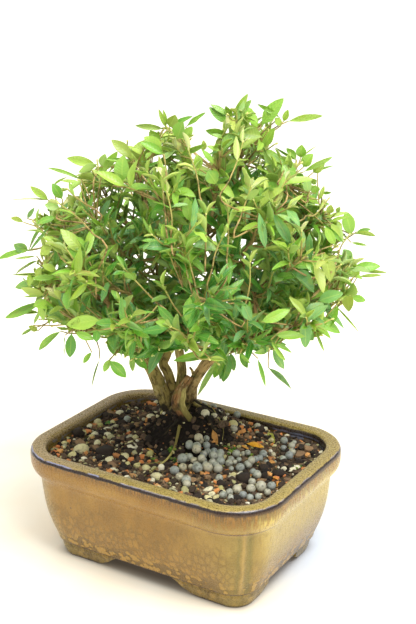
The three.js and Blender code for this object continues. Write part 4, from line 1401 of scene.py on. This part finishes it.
bark.cover(pale_root_and_highlight, bark.mix(bark.band(flakes, 0.42, 0.58), "c2b468", "857a40"))
young = bark.band(bark.attribute("age"), 0.6, 0.1)
bark.cover(young, bark.mix(bark.noise(4, 2), "9aa24c", "b0a85a"))
bark_material = bark.done(Normal=bark.bump(ridges, 0.35), Specular_IOR_Level=0.3)
trunk = settle("trunk_and_branches", trunk_bm, [bark_material])
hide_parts("trunk")
print("trunk box, mm:", [round(1000 * v, 1) for v in trunk.dimensions])

# %% [markdown]
# ## A leaf
# A serissa's leaf is a slender pointed ellipse on a short stalk, folded a little along its midrib, arched
# down to its tip and only a few tenths of a millimetre thick. A grid of sixteen faces is enough: its rows are
# drawn in to the outline, folded and arched, and the sheet is given a thickness. Its rim is marked sharp, so
# that it shades as a thin blade and not as a cushion. The masters differ in fold, arch and twist.

# %% Leaf masters
# Each row is a place along the leaf and the share of its full width there.
LEAF_OUTLINE = [
    (0, 0.06), (0.07, 0.14), (0.18, 0.56), (0.33, 0.88), (0.5, 1), (0.67, 0.9), (0.82, 0.63), (0.94, 0.27),
    (1, 0),
]


def leaf_turn(along, face):
    side = along.cross(face).normalized()
    face = side.cross(along).normalized()
    return Matrix((side, along, face)).transposed().to_4x4()


def leaf_master(fold, arch, twist, wave):
    bm = bmesh.new()
    rows = len(LEAF_OUTLINE) - 1
    bmesh.ops.create_grid(bm, x_segments=2, y_segments=rows, size=0.5)
    blade = bm.verts.layers.float_vector.new("blade")
    for vert in bm.verts:
        t, share = LEAF_OUTLINE[round((vert.co.y + 0.5) * rows)]
        side = 2 * vert.co.x
        lift = 0.17 * share * (fold * abs(side) + wave * side * math.sin(11 * t))
        turned = Matrix.Rotation(twist * t, 3, "Y") @ Vector((0.5 * side * share, 0, lift - arch * t * t))
        vert.co = (turned.x, t, turned.z)
        vert[blade] = (side, t, 0)
    upper = set(bm.verts)
    bmesh.ops.solidify(bm, geom=bm.faces[:], thickness=0.02)
    for vert in bm.verts:
        if vert not in upper:
            vert[blade] = (vert[blade].x, vert[blade].y, 1)
    bmesh.ops.remove_doubles(bm, verts=bm.verts, dist=0.004)
    bmesh.ops.recalc_face_normals(bm, faces=bm.faces)
    for edge in bm.edges:
        edge.smooth = edge.calc_face_angle(0) < math.radians(60)
    return mesh_of("leaf", bm)


# Fold, arch, twist and wave of each master.
leaves = [
    leaf_master(*form)
    for form in (
        (0.5, 0.1, 0.0, 0.1), (0.3, 0.22, 0.3, 0.15), (0.8, 0.02, -0.35, 0.05),
        (0.2, 0.15, 0.15, 0.25), (0.6, 0.32, -0.2, 0.1), (1.1, 0.14, 0.4, 0.05),
    )
]
young_leaves = [leaf_master(1.3, -0.06, 0.1, 0.0), leaf_master(1.0, 0.12, -0.15, 0.0)]
bud_bm = bmesh.new()
bmesh.ops.create_icosphere(bud_bm, subdivisions=1, radius=0.5)
bud = mesh_of("bud", bud_bm)
print("faces of a leaf:", len(leaves[0].polygons))

# %% Leaf finish
glow_through = {"Subsurface_Weight": 0.15, "Subsurface_Radius": (0.7, 1.0, 0.25), "Subsurface_Scale": 0.001}
leaf = Finish("leaf_green", Roughness=0.38, Specular_IOR_Level=0.65, **glow_through)
blade = leaf.parts(leaf.attribute("blade", "Vector"))
from_rib = leaf.maths("ABSOLUTE", blade["X"])
greens = [(0, "dcdc98"), (0.15, "c0ce68"), (0.35, "a1c247"), (0.6, "7cb035"), (0.8, "589a26"), (1, "418628")]
leaf.skin = leaf.ramp(leaf.attribute("tone"), *greens)
slant = leaf.minus(leaf.times(blade["Y"], 9), leaf.times(from_rib, 1.6))
vein = leaf.maths("ABSOLUTE", leaf.minus(leaf.maths("FRACT", slant), 0.5))
hue = leaf.attribute("hue")
# Painted sheen: cool leaves are tinted blue-green for reflected light; olive ones get a duller yellow-green.
leaf.cover(leaf.band(hue, -0.1, -0.9, 0.65), "6da066")
leaf.cover(leaf.band(hue, 0.1, 0.9, 0.6), "9ba048")
leaf.cover(leaf.band(vein, 0.12, 0.02, 0.14), "a9c850")
leaf.patches(5, 3, 0.5, 0.72, "a2b63a", 0.35)
leaf.cover(leaf.band(from_rib, 0.14, 0.03, 0.32), "b9d05a")
withered = leaf.band(leaf.noise(2.2, 3), 0.62, 0.4)
leaf.cover(leaf.times(withered, leaf.attribute("wilt")), "a08c42")
leaf.cover(leaf.times(blade["Z"], 0.5), "a3bf62")
leaf_material = leaf.done(Normal=leaf.bump(leaf.band(vein, 0.0, 0.2), 0.08))

bud_finish = Finish("pale_bud", Roughness=0.6)
bud_finish.skin = bud_finish.mix(bud_finish.noise(1.2, 2), "ebe29a", "c9cf66")
bud_material = bud_finish.done()
print("leaf finish nodes:", len(leaf.tree.nodes))

# %% Lay the fallen leaves
# x and y of both ends, width, tone: a yellow leaf, and scraps of older ones.
FALLEN = [
    (26.1, 20.9, 35.2, 23.8, 3.4, 0.75), (-57.7, 4.5, -56.8, 10.1, 1.8, 0),
    (-16.3, -14, -8.7, -15.8, 1.5, 0.7), (44.7, 10.8, 49, 11.3, 2.2, 1), (28, 41.8, 36.7, 32.3, 3.4, 0.35),
    (33, 2.8, 35.1, 8.4, 1.2, 0.5), (25.1, 16.5, 30.2, 16, 1.5, 0.9), (8.9, 13.5, 15.9, 6, 3.2, 1),
    (54.6, -4.8, 60.7, -6.5, 1.6, 0.9), (62.5, -12.8, 62.4, -4.6, 1.8, 0.75),
]
faded = Finish("fallen_leaf", Roughness=0.55)
fading = [(0, "4f8f2f"), (0.35, "b9ba4c"), (0.5, "d8c470"), (0.75, "dc9c14"), (1, "cf9450")]
faded.skin = faded.ramp(faded.attribute("tone"), *fading)
faded.patches(1.8, 3, 0.48, 0.66, "9a6216", 0.6)
faded.done(Normal=faded.bump(faded.noise(0.9, 2), 0.15))
fallen_bm = pile_bm("tone", vectors=["blade"])
for number, (x1, y1, x2, y2, width, tone) in enumerate(FALLEN):
    foot, end = [Vector((x, y, ground(x, y) + 1.4)) for x, y in ((x1, y1), (x2, y2))]
    length = (end - foot).length
    place = Matrix.Translation(foot) @ leaf_turn((end - foot).normalized(), UP + Vector((0.25, -0.5, 0)))
    add_copy(fallen_bm, leaves[number % 3], place @ Matrix.Diagonal((width, length, length, 1)), tone=tone)
fallen = settle("fallen_leaves", fallen_bm, [faded.material])
print("fallen leaves:", len(FALLEN))

# %% [markdown]
# ## A leafy shoot
# Serissa leaves stand in pairs, each pair crossed with the one before. A shoot is bare below, carries a few
# pairs, ends in two small leaves beside a bud, and puts out side shoots from its joints. Each blade leans
# away from the stem and turns its face to the light. The whole of a shoot is one piece, which stands for its
# plainer solid.

# %% Set a leaf, a tip and a shoot
def shade_at(base):
    """How much darker the leaves are painted low and in the middle, where less light reaches them, and how
    much lighter high up: painted shade and painted light.
    """
    across, away = in_tree(base)
    height = base.z + SIGHT * away
    middle = math.exp(-(((across - 4) / 46) ** 2) - ((height - 132) / 44) ** 2)
    return 0.42 * middle - 0.1 * clamp((height - 150) / 60, 0, 1)


def leaf_hue(draw, base):
    """Below 0 cool, a painted bluish sheen of reflected light; above it olive. More leaves are cool to the
    right and below, and olive to the left.
    """
    across = in_tree(base)[0]
    low = clamp((128 - base.z) / 30, 0, 1)
    cool = 0.13 + 0.2 * clamp(across / 40, 0, 1) + 0.1 * low
    olive = 0.16 + 0.2 * clamp(-across / 40, 0, 1)
    kind = draw.random()
    if kind < cool:
        return -draw.uniform(0.4, 1)
    return draw.uniform(0.3, 1) if kind < cool + olive else 0


def set_leaf(bm, draw, base, stem, side, splay, length, tone, young=False):
    """Sets a leaf that leans away from its stem by a splay. The shears take what reaches past the outline."""
    along = (stem * math.cos(splay) + side * math.sin(splay)).normalized()
    if not in_outline(base + along * length * draw.uniform(0.85, 1.15)):
        return
    if not in_outline(base, 1.1) and draw.random() < 0.2:
        return
    face = stem * math.sin(splay) - side * math.cos(splay)
    face = face.normalized() + 0.5 * UP + jitter(draw, 0.75)
    width = length * draw.uniform(0.21, 0.31)
    shape = Matrix.Diagonal((width, length, length, 1))
    master = draw.choice(young_leaves if young else leaves)
    # Leaves deep in the crown, low and in its middle are painted darker, high ones lighter: painted shade and
    # light.
    tone = clamp(tone + 0.34 * depth_in_crown(base) + shade_at(base) + draw.uniform(-0.23, 0.23), 0, 1)
    place = Matrix.Translation(base) @ leaf_turn(along, face) @ shape
    wilt = draw.uniform(0.5, 0.9) if draw.random() < 0.05 and not young else 0
    add_copy(bm, master, place, tone=tone, wilt=wilt, hue=leaf_hue(draw, base))


def set_tip(bm, draw, tip, stem, level, tone):
    """The youngest leaves, small and upright, beside a pale bud."""
    spin = Matrix.Rotation(draw.uniform(0, math.pi), 3, stem)
    for sign in (1, -1):
        size = draw.uniform(5, 9.5)
        splay = math.radians(draw.uniform(20, 40))
        set_leaf(bm, draw, tip, stem, spin @ level * sign, splay, size, tone, young=True)
    shape = Matrix.Diagonal((1.1, 1.1, 2, 1))
    place = Matrix.Translation(tip + stem * 0.9) @ stem.to_track_quat("Z", "Y").to_matrix().to_4x4()
    add_copy(bm, bud, place @ shape, slot=2)


def set_shoot(bm, draw, base, end, radius, pairs, tone, bare, side_shoots=0, age=1, largest=18):
    """A shoot with its pairs of leaves, its tip and, from its joints, shorter side shoots."""
    while not in_outline(end) and (end - base).length > 5:
        end = base.lerp(end, 0.85)
    length = (end - base).length
    stem = (end - base).normalized()
    level = UP.cross(stem).normalized() if abs(stem.z) < 0.97 else Vector((1, 0, 0))
    sway = jitter(draw, 0.1) * length - UP * 0.07 * length
    path = smooth_path([base, base.lerp(end, 0.55) + sway, end], max(2, length / 8))
    limb(bm, path, tapered(path, radius, 0.36), 5, (0.3, 0.6), ages=(age, 0.1), slot=1)
    spin = draw.uniform(0, math.pi)
    for pair in range(pairs):
        t = bare + (1 - bare) * (pair + 0.5) / pairs
        joint = path[round(t * (len(path) - 1))]
        turn = Matrix.Rotation(spin + pair * math.pi / 2 + draw.uniform(-0.35, 0.35), 3, stem)
        for sign in (1, -1):
            side = turn @ level * sign
            splay = math.radians(draw.uniform(38, 82) - 18 * t)
            size = largest * draw.uniform(0.62, 1.08) * (1 - 0.15 * t)
            if draw.random() < 0.88:
                set_leaf(bm, draw, joint, stem, side, splay, size, tone + 0.2 * (1 - t))
            if draw.random() < side_shoots:
                out = (stem * 0.8 + side * 0.75 + UP * 0.25).normalized()
                off = joint + out * clamp(length * draw.uniform(0.35, 0.65), 7, 17)
                smaller = {"age": age * 0.6, "largest": largest * 0.9}
                set_shoot(bm, draw, joint, off, radius * 0.7, 2, tone - 0.05, 0.3, **smaller)
    set_tip(bm, draw, path[-1], stem, level, tone - 0.17)


print("a shoot's parts are ready")

# %% [markdown]
# ## Fifty-two shoots
# Each shoot starts where its solid's stem starts, at the end of a branch, and ends at its tip. Shorter shoots
# along the branch behind it fill the crown's inside, so that no bare hollow shows between the outer leaves.

# %% Grow the fifty-two shoots
CROWN_CORE = tree_point(0, CROWN["away"], 160)
sprays = [pile_bm("tone", "age", "wilt", "hue", vectors=["grain", "blade"]) for _ in seats]
for number, (bm, seat) in enumerate(zip(sprays, seats), 1):
    draw = random.Random(1000 + number)
    tone = draw.uniform(0.3, 0.6)
    end = seat["tip"]
    while not in_outline(end):
        end = end.lerp(CROWN_CORE, 0.04)
    set_shoot(bm, draw, seat["base"], end, 0.85, 4, tone, 0.1, side_shoots=0.55)
    inner = smooth_path(seat["branch"]["path"], 3)
    for _ in range(7):
        joint = inner[round(draw.uniform(0.3, 0.95) * (len(inner) - 1))]
        out = (seat["direction"] * 0.6 + jitter(draw, 1)).normalized()
        off = joint + out * draw.uniform(12, 24)
        set_shoot(bm, draw, joint, off, 0.6, 3, tone + 0.1, 0.3, age=0.8, largest=16)
print("faces in the first shoot:", len(sprays[0].faces))

# %% [markdown]
# ## The clipped edge
# A crown that is clipped to a shape branches most at its edge. A walk along the outline drops a shoot every
# few millimetres, each a little inside it and at its own depth, and grows it from the nearest of the
# fifty-two.

# %% Grow shoots to the edge
EDGE_STEP = 7.2


def points_along(outline, spacing):
    """Points on a closed outline, a spacing apart."""
    points, left = [], 0
    for (x1, z1), (x2, z2) in zip(outline, outline[1:] + outline[:1]):
        run = math.hypot(x2 - x1, z2 - z1)
        while left < run:
            points.append((x1 + (x2 - x1) * left / run, z1 + (z2 - z1) * left / run))
            left += spacing
        left -= run
    return points


def nearest_stem(point):
    """The shoot that passes closest to a point, and the place on it."""
    places = []
    for number, seat in enumerate(seats):
        stem = seat["tip"] - seat["base"]
        share = (point - seat["base"]).dot(stem) / stem.length_squared
        place = seat["base"].lerp(seat["tip"], clamp(share, 0, 0.6))
        places.append(((place - point).length, number, place))
    return min(places)[1:]


draw = random.Random(55)
edge = points_along(CLIPPED, EDGE_STEP)
for across, height in edge:
    away = draw.uniform(-34, 10)
    inward = (Vector((0, 160)) - Vector((across, height))).normalized() * draw.uniform(3, 10)
    end = tree_point(across + inward.x, away, height + inward.y - SIGHT * away)
    gaps = [(seat["tip"] - end).length + (seat["base"] - end).length for seat in seats]
    nearest = gaps.index(min(gaps))
    begin = seats[nearest]["base"].lerp(seats[nearest]["tip"], draw.uniform(0, 0.5))
    tone = draw.uniform(0.25, 0.5)
    set_shoot(sprays[nearest], draw, begin, end, 0.55, 3, tone, 0.4, 0.2, age=0.8, largest=16)
print("shoots at the edge:", len(edge))

# %% [markdown]
# ## Leaves that make the silhouette
# From the front a tree is known by the few leaves that stand out past its edge, hang below it or lie large
# over its face. Those are set one by one. Each grows on a thin twig from the nearest shoot, and turns its
# face to the front and the light.

# %% Where the single leaves stand
# Across and height of a leaf's base and of its tip, how far back it stands, width, tone and hue.
SINGLE_LEAVES = [
    # the left edge
    (-71, 198, -79, 205, -19, 3.9, 0.3, 0.3), (-71, 198, -89, 200, -19, 1.5, 0.3, 0.5),
    (-63, 200, -67, 208, -26, 5, 0.7, 0), (-63, 198, -70, 200, -36, 4.6, 0.4, -0.6),
    (-83, 187, -79, 193, -14, 2.3, 0.5, -0.8), (-85, 185, -91, 188, -14, 2.3, 0.2, 0.5),
    (-65, 194, -74, 192, -39, 3.9, 0.6, -0.2), (-71, 190, -80, 177, -35, 2.3, 0.5, -0.6),
    (-67, 191, -78, 178, -42, 1.5, 0.6, -0.7), (-82, 172, -89, 176, -22, 5.4, 0.5, -0.9),
    (-81, 173, -98, 169, -23, 3.1, 0.5, 0.2), (-77, 171, -88, 170, -28, 1.2, 0.4, 0.6),
    (-76, 169, -88, 163, -29, 1.5, 0.65, 0), (-66, 164, -89, 164, -36, 1.5, 0.3, 0.4),
    (-64, 168, -75, 168, -55, 3.1, 0.55, 0), (-63, 172, -69, 176, -58, 4.2, 0.4, 0.2),
    (-63, 184, -69, 188, -52, 3.9, 0.45, 0.3), (-66, 183, -71, 179, -52, 4.6, 0.3, 0.3),
    (-60, 191, -63, 175, -58, 3.9, 0.5, -0.8),
    # the upper left
    (-53, 210, -69, 217, -26, 1.9, 0.45, 0.2), (-45, 216, -59, 222, -25, 4.6, 0.4, 0),
    (-53, 210, -62, 212, -33, 2.3, 0.4, 0.5), (-68, 206, -61, 211, -22, 1.2, 0.5, 0.3),
    (-41, 217, -34, 227, -42, 3.9, 0.4, 0), (-42, 219, -40, 225, -38, 3.9, 0.35, -0.6),
    (-27, 222, -35, 232, -34, 5.4, 0.6, 0.9), (-26, 223, -39, 224, -43, 1.9, 0.5, 0.3),
    (-31, 214, -31, 226, -49, 7.7, 0.55, -0.3), (-29, 212, -43, 220, -51, 5.4, 0.4, 0),
    (-20, 229, -29, 229, -39, 1.5, 0.4, 0.4), (-27, 212, -23, 226, -54, 5.4, 0.45, 0),
    # the top, left of its notch
    (-12, 234, -26, 236, -18, 3.1, 0.7, 0.7), (-11, 235, -14, 244, -19, 2.3, 0.3, 0.4),
    (-11, 235, -11, 243, -18, 1.5, 0.4, 0), (-9, 235, -6, 241, -19, 6.2, 0.6, 0.8),
    (-8, 235, 2, 241, -18, 2.7, 0.7, -0.2), (-5, 231, -2, 240, -31, 7.7, 0.6, 0),
    (-1, 235, 8, 243, -19, 1.9, 0.5, 0), (-2, 231, 2, 238, -34, 4.6, 0.45, 0),
    (-12, 227, -20, 234, -40, 7, 0.5, 0), (-11, 226, -22, 232, -42, 4.6, 0.6, 0),
    (-13, 231, -18, 236, -32, 3.1, 0.5, 0), (-2, 232, 3, 235, -38, 1.2, 0.4, 0.3),
    (-3, 226, 9, 232, -47, 2.7, 0.6, -0.2), (8, 228, 8, 233, -44, 3.1, 0.25, 0.4),
    (6, 221, 5, 228, -54, 4.6, 0.5, 0), (13, 223, 8, 230, -51, 3.1, 0.6, 0),
    (16, 228, 10, 231, -45, 2.3, 0.5, 0.2),
    # the top, right of its notch
    (21, 236, 11, 244, -14, 4.6, 0.65, 0), (21, 240, 12, 246, -14, 3.1, 0.5, -0.5),
    (22, 239, 19, 245, -14, 3.9, 0.6, 0.2), (22, 239, 30, 251, -14, 3.1, 0.35, -0.3),
    (23, 238, 31, 248, -14, 3.9, 0.5, -0.5), (27, 234, 29, 241, -15, 5.4, 0.5, -0.4),
    (35, 234, 29, 246, -14, 7, 0.55, 0), (37, 235, 47, 249, -14, 7, 0.5, -0.2),
    (46, 239, 36, 246, -14, 2.3, 0.55, 0), (47, 235, 44, 239, -14, 3.9, 0.45, 0.2),
    (48, 237, 50, 243, -14, 3.1, 0.45, 0), (50, 237, 67, 241, -14, 2.7, 0.4, 0),
    (20, 233, 9, 236, -32, 3.9, 0.65, 0), (20, 232, 12, 235, -35, 2.3, 0.5, -0.4),
    (22, 231, 25, 237, -27, 3.9, 0.65, 0), (37, 231, 24, 235, -25, 7, 0.55, 0.6),
    (38, 226, 43, 235, -21, 7, 0.55, 0),
    # the upper right
    (54, 220, 43, 227, -28, 1.5, 0.6, 0), (54, 220, 49, 226, -25, 3.1, 0.5, 0),
    (54, 217, 44, 224, -36, 1.5, 0.6, 0), (57, 219, 57, 225, -16, 5.4, 0.6, 0),
    (58, 215, 61, 222, -20, 6.2, 0.45, 0), (59, 220, 64, 225, -14, 0.8, 0.3, 0.4),
    (58, 213, 72, 221, -22, 2.7, 0.5, 0.1), (66, 212, 74, 215, -14, 1.5, 0.6, -0.5),
    (63, 212, 68, 217, -19, 4.6, 0.5, 0.6), (53, 216, 50, 218, -39, 6.2, 0.6, 0),
    (55, 212, 56, 216, -39, 5.4, 0.7, 0), (59, 207, 58, 214, -41, 5.4, 0.45, -0.6),
    (63, 206, 62, 210, -39, 4.6, 0.5, 0), (61, 210, 63, 212, -35, 3.1, 0.55, -0.3),
    (65, 202, 67, 209, -36, 2.3, 0.25, 0.4), (67, 204, 71, 205, -31, 1.5, 0.5, 0.1),
    # the right edge
    (74, 195, 75, 198, -34, 2.3, 0.45, -0.6), (70, 196, 70, 200, -40, 3.9, 0.4, 0.6),
    (70, 191, 81, 194, -28, 3.1, 0.35, -0.3), (70, 190, 80, 194, -34, 1.9, 0.45, 0),
    (83, 181, 80, 193, -24, 7, 0.5, 0), (87, 180, 94, 182, -14, 2.3, 0.5, -0.5),
    (85, 180, 96, 180, -18, 1.5, 0.45, 0.1), (70, 192, 75, 187, -45, 3.9, 0.3, 0.4),
    (66, 193, 76, 184, -48, 2.3, 0.6, 0), (72, 183, 67, 192, -51, 4.6, 0.4, 0),
    (83, 177, 91, 176, -24, 1.5, 0.5, 0), (81, 173, 77, 179, -44, 5.4, 0.45, -0.7),
    (84, 164, 98, 166, -26, 5.4, 0.6, 0), (87, 162, 102, 162, -24, 1.5, 0.4, 0.2),
    (87, 159, 99, 161, -25, 1.5, 0.45, 0.1), (84, 164, 84, 168, -40, 3.9, 0.4, 0),
    (74, 166, 85, 158, -47, 2.7, 0.7, 0), (79, 161, 79, 149, -51, 6.2, 0.3, 0.6),
    (84, 149, 91, 148, -28, 3.9, 0.55, 0), (63, 158, 75, 163, -62, 6.2, 0.7, -0.6),
    # the lower right
    (65, 155, 77, 143, -58, 3.9, 0.55, -0.8), (61, 150, 75, 142, -61, 5.4, 0.5, 0),
    (60, 148, 70, 140, -64, 4.6, 0.5, 0.3), (56, 153, 58, 138, -72, 6.2, 0.65, -0.6),
    (74, 148, 89, 132, -36, 1.2, 0.4, 0.3), (62, 145, 67, 133, -63, 1.2, 0.45, 0.1),
    (42, 146, 56, 146, -77, 4.6, 0.5, -0.3), (35, 154, 48, 160, -81, 5, 0.5, 0),
    (42, 142, 50, 138, -78, 2.7, 0.55, -0.3), (40, 144, 47, 134, -78, 1.5, 0.55, 0),
    (41, 138, 47, 128, -75, 3.9, 0.6, -0.7), (41, 116, 53, 105, -43, 3.9, 0.55, -0.8),
    (34, 133, 38, 119, -74, 2.3, 0.65, -0.2), (25, 139, 30, 135, -84, 1.5, 0.6, 0),
    # the lower left
    (-76, 157, -88, 157, -31, 4.6, 0.5, -0.6), (-72, 155, -83, 158, -42, 4.6, 0.35, 0.2),
    (-72, 155, -82, 155, -44, 1.2, 0.4, 0.4), (-74, 149, -94, 140, -34, 3.9, 0.6, -0.2),
    (-70, 156, -76, 153, -53, 3.1, 0.5, 0), (-76, 142, -91, 142, -32, 3.1, 0.4, 0.3),
    (-69, 158, -71, 147, -58, 6.2, 0.4, 0.2), (-77, 141, -73, 150, -49, 1.5, 0.4, -0.5),
    (-78, 131, -82, 134, -29, 3.1, 0.3, 0.6), (-81, 131, -87, 128, -25, 1.5, 0.5, -0.5),
    (-65, 134, -78, 125, -38, 3.1, 0.55, 0), (-60, 140, -61, 129, -61, 0.8, 0.5, 0),
    (-56, 143, -57, 131, -66, 5.4, 0.75, -0.3), (-53, 147, -44, 144, -76, 3.9, 0.6, 0),
    (-42, 149, -43, 144, -79, 3.9, 0.7, 0), (-41, 153, -57, 151, -75, 7, 0.4, 0.2),
    (-46, 135, -50, 130, -71, 2.3, 0.6, 0), (-37, 133, -40, 127, -75, 3.1, 0.65, 0),
    (-45, 121, -50, 105, -43, 1.2, 0.6, -0.2), (-37, 133, -29, 125, -77, 5.4, 0.65, 0),
    # the front, and what hangs below it
    (-48, 182, -59, 194, -63, 6.2, 0.4, 0.6), (37, 187, 34, 204, -73, 4.1, 0.75, -0.9),
    (49, 188, 41, 203, -68, 4.6, 0.7, -0.9), (66, 182, 69, 168, -61, 7.2, 0.55, 0.9),
    (58, 193, 58, 179, -65, 4.1, 0.85, -1), (-13, 165, -5, 156, -90, 4.6, 0.85, 0),
    (-8, 154, -20, 153, -90, 4.1, 0.85, 0), (2, 170, 0, 158, -91, 4.6, 0.6, 0),
    (26, 166, 30, 157, -87, 4.6, 0.7, -0.8), (2, 200, 0, 212, -73, 5.2, 0.5, 0),
    (10, 222, 14, 216, -61, 6.7, 0.8, 0.4), (20, 204, 32, 207, -70, 2.6, 0.3, 0.3),
    (20, 130, 17, 115, -30, 4.6, 0.9, 0), (32, 122, 42, 119, -26, 4.1, 0.85, 0),
    (27, 118, 31, 109, -24, 3.6, 0.8, 0), (-36, 137, -34, 121, -30, 5.7, 0.85, 0.3),
    (37, 121, 51, 122, -22, 4.1, 0.8, 0), (-11, 127, -22, 106, -26, 6.3, 0.95, 0),
    (18, 118, -8, 114, -26, 4.1, 0.6, 0), (17, 116, 3, 93, -26, 3.6, 0.5, 0),
    (20, 116, 12, 103, -24, 4.6, 0.8, 0), (21, 116, 18, 100, -23, 6.2, 0.85, 0),
    (22, 116, 24, 106, -21, 4.1, 0.75, 0), (20, 115, 15, 101, -22, 4.1, 0.9, 0),
    (-8, 123, -9, 117, -24, 2.6, 0.15, 0), (-2, 118, -1, 110, -4, 4.1, 0.9, 0),
    (-30, 112, -23, 103, -12, 5.2, 0.8, 0), (-26, 124, -24, 115, -16, 4.9, 0.55, 0.5),
    (-31, 112, -30, 103, -14, 3.1, 0.6, 0), (-10, 122, -1, 124, -22, 4.1, 0.45, 0),
]
print("single leaves:", len(SINGLE_LEAVES))

# %% Set the single leaves
FORWARD = tree_point(0, -1, 0) - tree_point(0, 0, 0)


def place_leaf(draw, base, tip, width, tone, hue):
    """Sets one leaf from base to tip, on a thin twig from the nearest shoot."""
    number, begin = nearest_stem(base)
    path = smooth_path([begin, begin.lerp(base, 0.6) + jitter(draw, 1.5), base], 5)
    limb(sprays[number], path, tapered(path, 0.45, 0.3), 5, (0.4, 0.6), ages=(0.8, 0.3), slot=1)
    face = FORWARD + 0.5 * UP + jitter(draw, 0.35)
    length = (tip - base).length
    place = Matrix.Translation(base) @ leaf_turn((tip - base).normalized(), face)
    shape = Matrix.Diagonal((width, length, length, 1))
    add_copy(sprays[number], draw.choice(leaves), place @ shape, tone=tone, wilt=0, hue=hue)


draw = random.Random(77)
for x1, z1, x2, z2, away, width, tone, hue in SINGLE_LEAVES:
    tone = clamp(tone + draw.uniform(-0.1, 0.1), 0, 1)
    place_leaf(draw, tree_point(x1, away, z1), tree_point(x2, away - 2, z2), width, tone, hue)
print("faces in the first shoot now:", len(sprays[0].faces))

# %% [markdown]
# ## Shoots across the front
# Between the leaves of the crown's face the pale, slender stems of some shoots show. They rise from low in
# the middle and spread like a fan, carry their leaves near their tips, and lie close under the crown's skin.

# %% Grow shoots across the front
FACE = {"shoots": 30, "half_width": 90, "above": 84, "below": 60, "depth": 76}
FAN_FOOT = {"across": 5, "height": 95}


def bulge(across, height):
    """1 where the crown's face stands out most, 0 at its edge and less outside it."""
    rise = height - CROWN["height"]
    half_height = FACE["above"] if rise > 0 else FACE["below"]
    return 1 - ((across - CROWN["across"]) / FACE["half_width"]) ** 2 - (rise / half_height) ** 2


draw = random.Random(88)
crossing = 0
while crossing < FACE["shoots"]:
    across, height = draw.uniform(-72, 74), draw.uniform(124, 205)
    lean = draw.uniform(-0.4, 0.4)
    run = draw.uniform(16, 25)
    depth = draw.uniform(0.86, 0.97)
    if bulge(across, height) < 0.2:
        continue
    angle = math.atan2(height - FAN_FOOT["height"], across - FAN_FOOT["across"]) + lean
    ends = []
    for reach in (0, run):
        x, z = across + reach * math.cos(angle), height + reach * math.sin(angle)
        away = CROWN["away"] - FACE["depth"] * math.sqrt(max(bulge(x, z), 0)) * depth
        ends.append(tree_point(x, away, z - SIGHT * (away - CROWN["away"])))
    number, begin = nearest_stem(ends[0])
    bend = ends[0] - (ends[1] - ends[0]).normalized() * BEND * (begin - ends[0]).length
    link = smooth_path([begin, bend, ends[0]], 5)
    tone = draw.uniform(0.25, 0.6)
    limb(sprays[number], link, tapered(link, 0.45, 0.42), 5, (tone, tone), ages=(0.8, 0.6), slot=1)
    tone = draw.uniform(0.2, 0.45)
    set_shoot(sprays[number], draw, *ends, 0.42, 2, tone, 0.5, age=0.6, largest=13)
    crossing += 1
print("shoots across the front:", crossing)

# %% Hand over the shoots
count = 0
for number, bm in enumerate(sprays, 1):
    count += len(bm.faces)
    name = f"spray_{number:02d}"
    piece = settle("leafy_" + name, bm, [leaf_material, bark_material, bud_material])
    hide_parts(name)
print("faces in the leafy shoots:", count)

# %% [markdown]
# ## Compare the size
# The dressed model should fill the same box as the frame. Its box's corners are printed less the frame's.

# %% Sizes
low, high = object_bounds()
for corner, old, new in (("low", cad_box[0], low), ("high", cad_box[1], high)):
    print(corner, "corner less the frame's, mm:", [round(1000 * (b - a), 1) for a, b in zip(old, new)])
